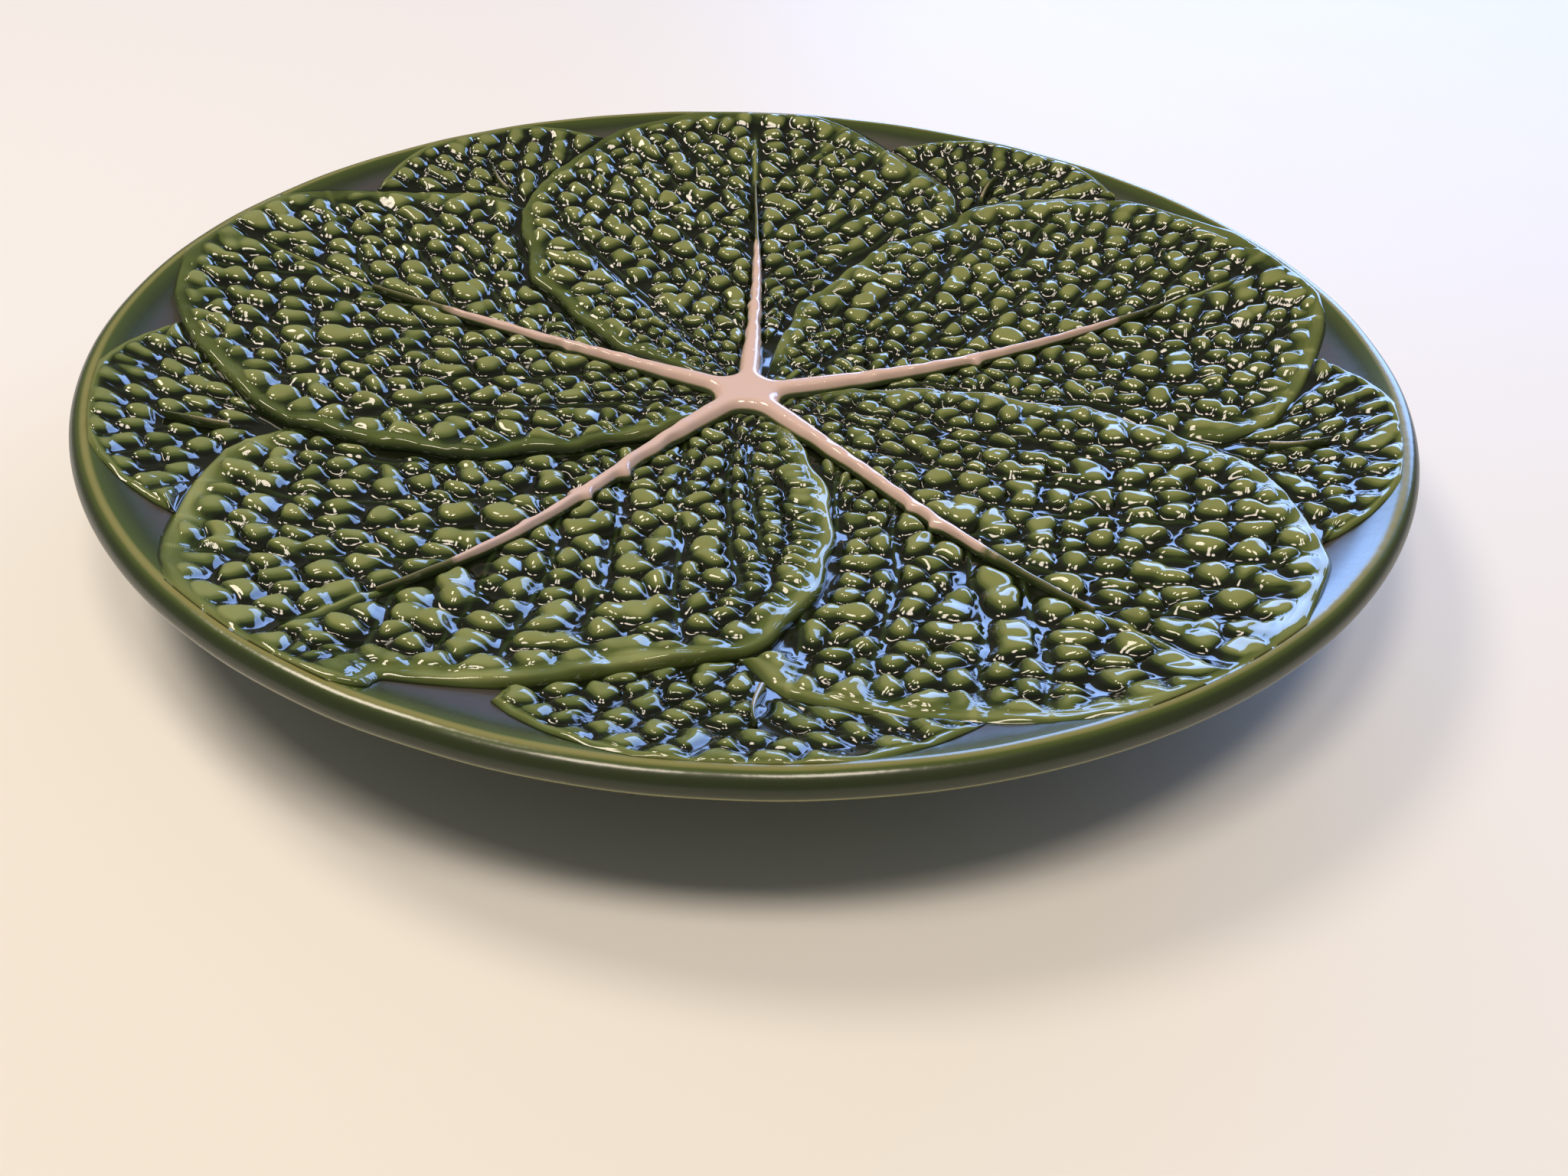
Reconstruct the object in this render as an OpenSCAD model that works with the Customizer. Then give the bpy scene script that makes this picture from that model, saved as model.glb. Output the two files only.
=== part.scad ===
// Round earthenware plate with a moulded relief of five large leaves, each lapping over the next,
// five leaf ends showing at the rim between them, and a star of cream midribs.
// Millimetres. +Z is up and the origin is the middle of the foot's face, on the table.

/* [Dish] */
// Diameter over the rounded rim
plate_d = 265; // [240:1:290]
// Height of the rim above the table
plate_h = 30; // [28:0.5:36]
// Depth from the rim's top to the bare floor under the leaves, at the middle
floor_depth = 20.5; // [16:0.5:22]
// Thickness of the clay at the middle
wall = 4.5; // [3.5:0.1:5.5]
// Radius of the rounded rim's section
rim_r = 2.6; // [2:0.1:3.2]
// Slope of the dish where it runs into the rim, in degrees
rim_slope = 30; // [25:1:36]

/* [Foot] */
// Diameter of the foot, to the middle of its face
foot_d = 124; // [100:1:150]
// Width of the face that the plate stands on
foot_face_w = 3.4; // [2.5:0.1:5]
// Width of the foot where it joins the dish
foot_root_w = 8.4; // [7:0.2:12]
// Rounding of the foot's lower edges
foot_edge_r = 0.8; // [0.4:0.1:1.2]

/* [Leaves] */
// Thickness of a large leaf halfway across
leaf_t = 2.2; // [1.8:0.1:3]
// Thickness of a leaf where its tip thins out on the rim
tip_t = 0.35; // [0.25:0.05:0.6]
// Rise of a large leaf from its covered side to its free side
leaf_rise = 1.2; // [0.6:0.1:1.6]
// Width of the rounded lip along a leaf's edge
lip_w = 3; // [2:0.1:4]
// Height of the lip over the blade
lip_h = 0.6; // [0.3:0.1:1]
// Height of the blisters between the side veins
blister_h = 0.8; // [0.4:0.1:1.3]
// How far outward the rows of blisters climb from the midrib to the edge
row_climb = 18; // [8:1:22]
// Thickness of the leaf ends that show at the rim
under_leaf_t = 1.3; // [1:0.1:1.6]
// Width of a leaf end where it comes out between two large leaves
under_start_w = 3; // [2:0.5:5]

/* [Ribs] */
// Radius of the round pad where the midribs meet
hub_r = 7.6; // [6:0.2:9]
// Height of the pad over its bed in the leaves
hub_h = 2.1; // [1.4:0.1:2.6]
// Distance of the pad's middle from the plate's axis, to the left
hub_left = 2; // [0:0.1:3]
// Distance of the pad's middle from the plate's axis, to the front
hub_front = 1.5; // [0:0.1:3]
// Reach of the pad's five arms, from the plate's axis
arm_r = 15; // [13:0.5:18]
// Width of a midrib at the pad
rib_w = 5.4; // [4:0.1:6.5]
// Height of a midrib at the pad, over its bed
rib_h = 1.9; // [1.2:0.1:2.4]
// Depth of a midrib's bed below the blade
bed_depth = 0.5; // [0.2:0.1:0.8]
// Width of a leaf end's short midrib
under_rib_w = 1.6; // [1.2:0.1:2.2]
// Height of a leaf end's short midrib
under_rib_h = 0.8; // [0.5:0.1:1.2]

/* [Fits] */
// Clearance between a form and the surface that it is seated on
seat_gap = 0.12; // [0.1:0.01:0.2]
// Clearance between neighbouring leaves along their shared edge
leaf_gap = 0.3; // [0.2:0.05:0.5]

/* [Hidden] */
$fn = 180;

glaze_green = [0.27, 0.36, 0.16];
deep_green = [0.17, 0.25, 0.11];
cream = [0.93, 0.86, 0.77];
bare_clay = [0.80, 0.68, 0.53];

// Direction of each large leaf's midrib, anticlockwise from the right, in degrees
leaf_turns = [17.2, 91.2, 163.3, 235.4, 303.3];
leaf_count = len(leaf_turns);
// Turn of each leaf's free edge from the common outline, in degrees: inside, then near the rim
edge_in_turns = [0, 1.5, -1.5, -3, -1];
edge_out_turns = [6.5, 3, 0.5, -6, 2.5];
// Reach of each midrib as a share of the plate's radius
rib_reach_shares = [0.78, 0.755, 0.72, 0.805, 0.785];
// Sideways bow and S bend of each midrib as shares of its reach
rib_bow_shares = [-0.018, -0.013, -0.019, 0, 0.01];
rib_sway_shares = [0, 0, 0, -0.013, 0.006];

// Free edge of a large leaf: share of the plate's radius, degrees from the midrib
free_edge_shares = [[0.05, 62], [0.21, 61.5], [0.34, 57.5], [0.42, 53], [0.53, 49.5], [0.64, 43], [0.73, 38],
    [0.79, 31], [0.87, 23], [0.91, 18.5], [0.94, 15], [0.96, 11], [0.975, 8]];
// Other edge of a large leaf, which the leaf before it covers as far as about 0.74 of the radius
covered_edge_shares = [[0.05, -34], [0.74, -34], [0.79, -32], [0.82, -30], [0.87, -23.5], [0.91, -18.2],
    [0.94, -14.5], [0.96, -11.5], [0.975, -8]];
// Outline of a leaf end: share of the plate's radius, degrees to each side of its middle
under_edge_shares = [[0.7, 18], [0.905, 17.5], [0.925, 15.5], [0.95, 12], [0.965, 9], [0.975, 6]];
// Width of a midrib: share of its reach, share of its width at the pad
rib_width_shares = [[0, 1], [0.14, 1], [0.28, 0.66], [0.45, 0.5], [0.7, 0.34], [1, 0.16]];
// Height of a midrib: share of its reach, share of its height at the pad
rib_height_shares = [[0, 1], [0.14, 1], [0.45, 0.75], [0.8, 0.5], [1, 0.2]];
// Section of a rib: share of its half width, share of its height
rib_section_shares = [[-1, 0], [-0.85, 0.53], [-0.45, 0.89], [0, 1], [0.45, 0.89], [0.85, 0.53], [1, 0]];

plate_r = plate_d / 2;
crest_r = plate_r - rim_r;
rim_mid_z = plate_h - rim_r;
floor_mid_z = plate_h - floor_depth;
under_mid_z = floor_mid_z - wall;
// The dish runs into the rim's round section here, above and below
join_r = crest_r - rim_r * sin(rim_slope);
join_z = rim_mid_z + rim_r * cos(rim_slope);
under_join_r = crest_r + rim_r * sin(rim_slope);
under_join_z = rim_mid_z - rim_r * cos(rim_slope);
bowl_power = 10;
bowl_steps = 30;
rim_step_deg = 10;
foot_step_deg = 15;

foot_root_in_r = (foot_d - foot_root_w) / 2;
foot_root_out_r = (foot_d + foot_root_w) / 2;
foot_face_in_r = (foot_d - foot_face_w) / 2;
foot_face_out_r = (foot_d + foot_face_w) / 2;

// Grid of a large leaf: rows from the pad to the tip, columns on each side of the midrib
row_count = 26;
covered_cols = 8;
free_cols = 12;
bottom_step = 3;
under_rows = 11;
under_cols = 3;
leaf_in_r = 0.8 * hub_r;
tip_r = crest_r - 0.2 * rim_r;
least_col_w = 0.3 * rib_w;
bed_side = 0.15 * lip_w;
bed_slope_w = lip_w;
rib_fade = 1.6 * lip_w;
// Blisters: depth of the valleys between them, spread of their heights, how far they wander from
// the grid as a share of a row or a column, and their height on a leaf end
valley_share = 0.5;
spread_share = 0.12;
wander_share = 0.2;
under_blister_share = 0.6;
// Shares of the plate's radius where the leaves' forms fade in and out
rise_in_shares = [0.08, 0.2];
rise_out_shares = [0.9, 0.975];
thin_out_shares = [0.86, 0.975];
edge_turn_shares = [0.70, 0.79];
edge_turn_end_shares = [0.93, 0.97];
open_edge_shares = [0.74, 0.79];
under_start_shares = [0.70, 0.86];
under_search_steps = 64;
under_rib_shares = [0.805, 0.885];
under_rib_steps = 4;
// Turn of a leaf end's middle from halfway between its neighbours, and of its midrib from its middle
under_shift_deg = 0.5;
under_rib_turn_deg = 1.2;
// Directions of the pad's outline between two arms, as shares of the way from arm to arm
web_shares = [0.19, 0.25, 0.34, 0.5, 0.66, 0.75, 0.81];
arm_end_shares = [-1, -0.5, 0, 0.5, 1];
hub_ring_shares = [0.4, 0.7, 0.9, 1];
hub_edge_share = 0.15;
web_power = 5;

// 0 before from, 1 after to, and a smooth rise in between
function smooth_step(x, from, to) =
    let (s = min(max((x - from) / (to - from), 0), 1))
    s * s * (3 - 2 * s);

// The same with from and to given as shares of the plate's radius
function radial_step(r, shares) = smooth_step(r / plate_r, shares[0], shares[1]);

// Arc length at radius r as degrees, and back
function arc_deg(w, r) = w / r * 180 / PI;
function arc_length(a, r) = a * r * PI / 180;

// A shallow bowl that ends at the join with the rim's slope
function bowl_z(r, mid_z, end_r, end_z) =
    let (lift = (tan(rim_slope) * end_r - 2 * (end_z - mid_z)) / (bowl_power - 2),
        rise = end_z - mid_z - lift)
    mid_z + rise * pow(r / end_r, 2) + lift * pow(r / end_r, bowl_power);

// Upper surface of the bare dish, and on the rim its round top
function floor_z(r) =
    r < join_r ? bowl_z(r, floor_mid_z, join_r, join_z)
    : rim_mid_z + sqrt(max(pow(rim_r, 2) - pow(r - crest_r, 2), 0));

// Lower surface of the dish
function under_z(r) = bowl_z(r, under_mid_z, under_join_r, under_join_z);

// Number of the leaf before and after leaf i, going round
function before(i) = (i + leaf_count - 1) % leaf_count;
function after(i) = (i + 1) % leaf_count;

// Degrees from direction a to direction b, from -180 to 180
function turn_from(a, b) = (b - a + 540) % 360 - 180;

// Free edge of leaf i at radius r, in degrees from its midrib's direction
function free_edge(i, r) =
    let (outer = radial_step(r, edge_turn_shares),
        turn = edge_in_turns[i] * (1 - outer) + edge_out_turns[i] * outer)
    lookup(r / plate_r, free_edge_shares)
        + turn * radial_step(r, rise_in_shares) * (1 - radial_step(r, edge_turn_end_shares));

// Free edge of the leaf before leaf i, seen from leaf i's direction
function covering_edge(i, r) =
    free_edge(before(i), r) + turn_from(leaf_turns[i], leaf_turns[before(i)]);

// Covered edge of leaf i: its own outline, or the edge of the leaf that laps over it
function covered_edge(i, r) =
    max(lookup(r / plate_r, covered_edge_shares), covering_edge(i, r));

function rib_reach(i) = rib_reach_shares[i] * plate_r;

// Sideways distance of midrib i's middle line from its direction
function rib_side(i, r) =
    let (reach = rib_reach(i),
        along = min(r / reach, 1),
        start = hub_left * sin(leaf_turns[i]) - hub_front * cos(leaf_turns[i]))
    start * (1 - along) + reach * (rib_bow_shares[i] * sin(180 * along)
        + rib_sway_shares[i] * sin(360 * along));

function rib_deg(i, r) = arc_deg(rib_side(i, r), r);
function rib_half_w(i, r) = rib_w / 2 * lookup(r / rib_reach(i), rib_width_shares);
function rib_top(i, r) = rib_h * lookup(r / rib_reach(i), rib_height_shares);

// Point at radius r in direction a, moved sideways
function beside(r, a, side) = [r * cos(a) - side * sin(a), r * sin(a) + side * cos(a)];

// Thickness that a leaf form keeps at radius r on its way to the thin tip
function thinned(t, r) = t + (tip_t - t) * radial_step(r, thin_out_shares);

function bed_t(r) = thinned(leaf_t - bed_depth, r);
function bed_z(r) = floor_z(r) + seat_gap + bed_t(r);

// Round lip: half height at the very edge, full just inside, nothing past its width
function lip(to_edge) =
    lip_h * (smooth_step(to_edge, -lip_w / 4, lip_w / 4) - smooth_step(to_edge, lip_w / 4, lip_w));

// 0 at a leaf's edges and 1 past the lips
function inside_edges(to_lo, to_hi) = smooth_step(min(to_lo, to_hi), lip_w / 4, lip_w);

// A number from -1 to 1 that changes from place to place of a grid and from leaf to leaf
function scatter(i, row, place, phase) = sin(97 * row + 161 * place + 53 * i + phase);

// Blisters lie like the dark squares of a chequerboard, no two quite alike, with valleys between
function blister(i, row, place) =
    (row + place) % 2 == 0 ? blister_h * (1 + spread_share * scatter(i, place, row, 0))
    : -valley_share * blister_h;

// Columns on one side of a rib, from 0 at the rib to 1 at the edge, with the last two in the lip
function col_share(col, cols, side_w) =
    let (lip_share = min(lip_w / side_w, 0.3))
    col == cols ? 1
    : col == cols - 1 ? 1 - 0.35 * lip_share
    : (1 - lip_share) * col / (cols - 2);

// Where one row meets the edges of the form and of the rib's bed, in degrees in rising order
function row_marks(r, lo, hi, rib_at, bed_half_w) =
    let (least = min(arc_deg(least_col_w, r), (hi - lo) / 4),
        bed_half = arc_deg(bed_half_w, r),
        bed_lo = max(min(rib_at - bed_half, hi - 2 * least), lo + least),
        bed_hi = min(max(rib_at + bed_half, bed_lo + least / 2), hi - least))
    [lo, bed_lo, bed_hi, hi];

function leaf_marks(i, r) =
    let (gap = arc_deg(leaf_gap / 2, r))
    row_marks(r, covered_edge(i, r) + gap, free_edge(i, r) - gap,
        rib_deg(i, r), rib_half_w(i, r) + bed_side);

function row_mid_r(row) = leaf_in_r + (tip_r - leaf_in_r) * row / row_count;

// Last row of leaf i that its midrib reaches, and the rib's end there
function rib_end_row(i) = floor((rib_reach(i) - leaf_in_r) / (tip_r - leaf_in_r) * row_count);
function rib_end_r(i) = row_mid_r(rib_end_row(i));

// Distance of angle a, seen from leaf i, from the bed of midrib j
function to_bed(i, j, r, a) =
    arc_length(abs(turn_from(leaf_turns[i] + a, leaf_turns[j] + rib_deg(j, r))), r)
        - rib_half_w(j, r) - bed_side;

// Share of the bed of midrib j in leaf i at radius r and angle a
function bed_share(i, j, r, a) =
    (1 - smooth_step(to_bed(i, j, r, a), bed_side, bed_slope_w))
        * (1 - smooth_step(r, rib_end_r(j), rib_end_r(j) + rib_fade));

// Thickness of leaf i at radius r and angle a, with its row and place in the row for the blisters
function leaf_thickness(i, r, a, row, place) =
    let (marks = leaf_marks(i, r),
        across = (a - marks[0]) / (marks[3] - marks[0]),
        to_free = arc_length(marks[3] - a, r),
        to_covered = arc_length(a - marks[0], r),
        grown = radial_step(r, rise_in_shares) * (1 - radial_step(r, rise_out_shares)),
        rise = leaf_rise * (across - 0.5) * grown,
        blade = leaf_t + rise + blister(i, row, place) * inside_edges(to_covered, to_free) * grown
            + lip(to_free) * grown
            + lip(to_covered) * grown * radial_step(r, open_edge_shares),
        bedded = max(bed_share(i, i, r, a), bed_share(i, after(i), r, a),
            1 - radial_step(r, rise_in_shares)))
    thinned(blade * (1 - bedded) + (leaf_t - bed_depth) * bedded, r);

// One grid point of leaf i: side is -1 on the covered side and 1 on the free side. Between the
// rib and the lips the points wander from the grid's lines
function leaf_point(i, row, col, side) =
    let (cols = side < 0 ? covered_cols : free_cols,
        place = side < 0 ? covered_cols - col : covered_cols + 1 + col,
        inner = col > 0 && col < cols - 1 && row > 0 && row < row_count,
        wander = inner ? wander_share * radial_step(row_mid_r(row), rise_in_shares) : 0,
        line = row + wander * scatter(i, row, place, 0),
        mid_r = row_mid_r(line),
        mid_marks = leaf_marks(i, mid_r),
        side_deg = side < 0 ? mid_marks[1] - mid_marks[0] : mid_marks[3] - mid_marks[2],
        share = col_share(col + wander * scatter(i, row, place, 90), cols, arc_length(side_deg, mid_r)),
        r = mid_r + row_climb * sin(180 * line / row_count) * share,
        marks = leaf_marks(i, r),
        a = side < 0 ? marks[1] + (marks[0] - marks[1]) * share
            : marks[2] + (marks[3] - marks[2]) * share)
    [r, a + leaf_turns[i], leaf_thickness(i, r, a, row, place)];

function leaf_grid(i) = [for (row = [0:row_count])
    concat([for (col = [covered_cols:-1:0]) leaf_point(i, row, col, -1)],
        [for (col = [0:free_cols]) leaf_point(i, row, col, 1)])];

// Direction of the middle of the leaf end between leaves i and i + 1
function under_turn(i) =
    leaf_turns[i] + turn_from(leaf_turns[i], leaf_turns[after(i)]) / 2 + under_shift_deg;

// Edges of leaf end i at radius r, in degrees from its middle
function under_edges(i, r) =
    let (own = lookup(r / plate_r, under_edge_shares),
        gap = arc_deg(leaf_gap, r),
        lo = free_edge(i, r) + turn_from(under_turn(i), leaf_turns[i]) + gap,
        hi = covered_edge(after(i), r) + turn_from(under_turn(i), leaf_turns[after(i)]) - gap)
    [max(lo, -own), min(hi, own)];

function under_width(i, r) = arc_length(under_edges(i, r)[1] - under_edges(i, r)[0], r);

// Smallest radius at which leaf end i is wide enough to start
function under_start_r(i) =
    [for (k = [0:under_search_steps])
        let (r = plate_r * (under_start_shares[0]
            + (under_start_shares[1] - under_start_shares[0]) * k / under_search_steps))
        if (under_width(i, r) > under_start_w) r][0];

function under_marks(i, r) =
    let (edges = under_edges(i, r))
    row_marks(r, edges[0], edges[1], under_rib_turn_deg, under_rib_w / 2 + bed_side);

function under_bed_t(r) = thinned(under_leaf_t, r);

function under_thickness(i, r, a, row, place) =
    let (marks = under_marks(i, r),
        own = lookup(r / plate_r, under_edge_shares),
        to_own = arc_length(own - abs(a), r),
        to_lo = arc_length(a - marks[0], r),
        to_hi = arc_length(marks[3] - a, r),
        bedded = place == under_cols || place == under_cols + 1,
        inside = bedded ? 0 : under_blister_share * inside_edges(to_lo, to_hi),
        grown = 1 - radial_step(r, rise_out_shares))
    thinned(under_leaf_t + blister(i, row, place) * inside + lip(to_own) * grown, r);

function under_point(i, row, col, side) =
    let (start_r = under_start_r(i),
        r = start_r + (tip_r - start_r) * row / under_rows,
        place = side < 0 ? under_cols - col : under_cols + 1 + col,
        marks = under_marks(i, r),
        a = side < 0 ? marks[1] + (marks[0] - marks[1]) * col / under_cols
            : marks[2] + (marks[3] - marks[2]) * col / under_cols)
    [r, a + under_turn(i), under_thickness(i, r, a, row, place)];

function under_grid(i) = [for (row = [0:under_rows])
    concat([for (col = [under_cols:-1:0]) under_point(i, row, col, -1)],
        [for (col = [0:under_cols]) under_point(i, row, col, 1)])];

// A closed form on the dish from a grid of [radius, angle, thickness]; the side on the dish
// keeps only every step-th column, and the creases of the upper side follow the valleys
module relief(grid, step) {
    rows = len(grid) - 1;
    cols = len(grid[0]) - 1;
    low_cols = cols / step;
    tops = [for (line = grid) for (p = line)
        [p[0] * cos(p[1]), p[0] * sin(p[1]), floor_z(p[0]) + seat_gap + p[2]]];
    lows = [for (line = grid) for (k = [0:low_cols])
        let (p = line[k * step])
        [p[0] * cos(p[1]), p[0] * sin(p[1]), floor_z(p[0]) + seat_gap]];
    function top(row, col) = row * (cols + 1) + col;
    function low(row, k) = len(tops) + row * (low_cols + 1) + k;
    top_faces = [for (row = [0:rows - 1]) for (col = [0:cols - 1])
        let (a = top(row, col),
            b = top(row, col + 1),
            c = top(row + 1, col + 1),
            d = top(row + 1, col))
        each (row + col) % 2 == 0 ? [[a, b, d], [b, c, d]] : [[a, b, c], [a, c, d]]];
    low_faces = [for (row = [0:rows - 1]) for (k = [0:low_cols - 1])
        each [[low(row, k), low(row + 1, k + 1), low(row, k + 1)],
            [low(row, k), low(row + 1, k), low(row + 1, k + 1)]]];
    side_faces = [for (row = [0:rows - 1])
        each [[top(row, 0), top(row + 1, 0), low(row + 1, 0)],
            [top(row, 0), low(row + 1, 0), low(row, 0)],
            [top(row, cols), low(row, low_cols), low(row + 1, low_cols)],
            [top(row, cols), low(row + 1, low_cols), top(row + 1, cols)]]];
    inner_end = [for (k = [0:low_cols - 1])
        each concat([[low(0, k), low(0, k + 1), top(0, (k + 1) * step)]],
            [for (col = [k * step:(k + 1) * step - 1]) [low(0, k), top(0, col + 1), top(0, col)]])];
    outer_end = [for (k = [0:low_cols - 1])
        each concat([[low(rows, k), top(rows, (k + 1) * step), low(rows, k + 1)]],
            [for (col = [k * step:(k + 1) * step - 1])
                [low(rows, k), top(rows, col), top(rows, col + 1)]])];
    polyhedron(points = concat(tops, lows),
        faces = concat(top_faces, low_faces, side_faces, inner_end, outer_end));
}

// A closed rib through stations of [radius, angle, half width, height, bed's height]
module rib(stations) {
    ring = len(rib_section_shares);
    last = len(stations) - 1;
    points = [for (s = stations) for (share = rib_section_shares)
        concat(beside(s[0], s[1], s[2] * share[0]), [s[4] + s[3] * share[1]])];
    skin = [for (k = [0:last - 1]) for (m = [0:ring - 1])
        let (a = k * ring + m,
            b = k * ring + (m + 1) % ring)
        each [[a, b + ring, a + ring], [a, b, b + ring]]];
    ends = [for (m = [1:ring - 2])
        each [[0, m + 1, m], [last * ring, last * ring + m, last * ring + m + 1]]];
    polyhedron(points = points, faces = concat(skin, ends));
}

// The dish: floor, round rim and underside as one revolved section
module dish_body() {
    upper = [for (k = [0:bowl_steps - 1])
        let (r = join_r * k / bowl_steps)
        [r, floor_z(r)]];
    rim = [for (a = [90 + rim_slope:-rim_step_deg:rim_slope - 90])
        [crest_r + rim_r * cos(a), rim_mid_z + rim_r * sin(a)]];
    outside_foot = [for (k = [bowl_steps - 1:-1:0])
        let (r = foot_root_out_r + (under_join_r - foot_root_out_r) * k / bowl_steps)
        [r, under_z(r)]];
    inside_foot = [for (k = [bowl_steps:-1:0])
        let (r = foot_root_in_r * k / bowl_steps)
        [r, under_z(r)]];
    color(deep_green)
        rotate_extrude()
            polygon(concat(upper, rim, outside_foot, inside_foot));
}

// The foot, its root lying on the cone of the dish's underside between its two radii
module foot_ring() {
    inner_edge = [for (a = [180:foot_step_deg:270])
        [foot_face_in_r + foot_edge_r * (1 + cos(a)), foot_edge_r * (1 + sin(a))]];
    outer_edge = [for (a = [270:foot_step_deg:360])
        [foot_face_out_r - foot_edge_r * (1 - cos(a)), foot_edge_r * (1 + sin(a))]];
    color(bare_clay)
        rotate_extrude()
            polygon(concat(inner_edge, outer_edge,
                [[foot_root_out_r, under_z(foot_root_out_r)], [foot_root_in_r, under_z(foot_root_in_r)]]));
}

module front_leaf(i) {
    color(glaze_green)
        relief(leaf_grid(i), bottom_step);
}

module under_leaf(i) {
    color(glaze_green)
        relief(under_grid(i), 1);
}

module midrib(i) {
    radii = concat([arm_r], [for (row = [0:rib_end_row(i)])
        let (r = row_mid_r(row))
        if (r > arm_r + lip_w / 2) r]);
    color(cream)
        rib([for (r = radii)
            [r, leaf_turns[i] + rib_deg(i, r), rib_half_w(i, r), rib_top(i, r), bed_z(r) + seat_gap]]);
}

module under_rib(i) {
    color(cream)
        rib([for (k = [0:under_rib_steps])
            let (along = k / under_rib_steps,
                r = plate_r * (under_rib_shares[0] + (under_rib_shares[1] - under_rib_shares[0]) * along),
                size = 1 - 0.5 * along)
            [r, under_turn(i) + under_rib_turn_deg, under_rib_w / 2 * size, under_rib_h * size,
                floor_z(r) + 2 * seat_gap + under_bed_t(r)]]);
}

// The pad with five short arms whose ends meet the midribs
module rib_hub() {
    mid = [-hub_left, -hub_front];
    end_r = arm_r - seat_gap;
    function arm_end(i, share) =
        beside(end_r, leaf_turns[i] + rib_deg(i, end_r), rib_half_w(i, end_r) * share);
    function arm_turn(i) =
        let (end = arm_end(i, 0))
        atan2(end[1] - mid[1], end[0] - mid[0]);
    function web_point(i, share) =
        let (span = (turn_from(arm_turn(i), arm_turn(after(i))) + 360) % 360,
            off = min(share, 1 - share) * span,
            arm = rib_w / 2 / sin(off),
            reach = pow(pow(hub_r, web_power) + pow(arm, web_power), 1 / web_power),
            a = arm_turn(i) + share * span)
        [mid[0] + reach * cos(a), mid[1] + reach * sin(a)];
    outline = [for (i = [0:leaf_count - 1])
        each concat([for (share = arm_end_shares) arm_end(i, share)],
            [for (share = web_shares) web_point(i, share)])];
    count = len(outline);
    function pad_h(p) = hub_h * sqrt(max(1 - pow(norm(p - mid) / hub_r, 4), 0));
    function arm_h(i, p) =
        let (off = atan2(p[1] - mid[1], p[0] - mid[0]) - arm_turn(i),
            along = norm(p - mid) * cos(off),
            side = norm(p - mid) * sin(off) / rib_half_w(i, end_r))
        along < 0 ? 0 : rib_top(i, end_r) * sqrt(max(1 - side * side, 0));
    function top_h(p) =
        max(concat([hub_edge_share * hub_h, pad_h(p)], [for (i = [0:leaf_count - 1]) arm_h(i, p)]));
    function seat(p) = bed_z(norm(p)) + seat_gap;
    rings = [for (share = hub_ring_shares) for (p = outline)
        let (q = mid + share * (p - mid))
        [q[0], q[1], seat(q) + top_h(q)]];
    lows = [for (p = outline) [p[0], p[1], seat(p)]];
    ring_count = len(hub_ring_shares);
    peak = ring_count * count + count;
    points = concat(rings, lows, [[mid[0], mid[1], seat(mid) + top_h(mid)], [mid[0], mid[1], seat(mid)]]);
    skin = [for (k = [0:ring_count - 1]) for (m = [0:count - 1])
        let (a = k * count + m,
            b = k * count + (m + 1) % count)
        each [[a, b + count, a + count], [a, b, b + count]]];
    crown = [for (m = [0:count - 1]) [peak, (m + 1) % count, m]];
    base = [for (m = [0:count - 1])
        [peak + 1, ring_count * count + m, ring_count * count + (m + 1) % count]];
    color(cream)
        polyhedron(points = points, faces = concat(skin, crown, base));
}

module leaf_right() { front_leaf(0); }
module leaf_back() { front_leaf(1); }
module leaf_left() { front_leaf(2); }
module leaf_front_left() { front_leaf(3); }
module leaf_front_right() { front_leaf(4); }
module under_leaf_back_right() { under_leaf(0); }
module under_leaf_back_left() { under_leaf(1); }
module under_leaf_left() { under_leaf(2); }
module under_leaf_front() { under_leaf(3); }
module under_leaf_right() { under_leaf(4); }
module midrib_right() { midrib(0); }
module midrib_back() { midrib(1); }
module midrib_left() { midrib(2); }
module midrib_front_left() { midrib(3); }
module midrib_front_right() { midrib(4); }
module under_rib_back_right() { under_rib(0); }
module under_rib_back_left() { under_rib(1); }
module under_rib_left() { under_rib(2); }
module under_rib_front() { under_rib(3); }
module under_rib_right() { under_rib(4); }

dish_body();
foot_ring();
rib_hub();
leaf_right();
leaf_back();
leaf_left();
leaf_front_left();
leaf_front_right();
under_leaf_back_right();
under_leaf_back_left();
under_leaf_left();
under_leaf_front();
under_leaf_right();
midrib_right();
midrib_back();
midrib_left();
midrib_front_left();
midrib_front_right();
under_rib_back_right();
under_rib_back_left();
under_rib_left();
under_rib_front();
under_rib_right();
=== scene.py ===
# %% [markdown]
# A round earthenware plate with a moulded relief of cabbage leaves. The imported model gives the
# dish, its foot, ten leaf forms and the star of ribs. Here each of them gets a fine surface worked
# out with numpy and a glaze. Everything is planned in millimetres and turned to metres once, when
# a mesh is made.

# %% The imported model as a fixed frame
import math

import bpy
import numpy as np
from mathutils import Matrix

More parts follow.
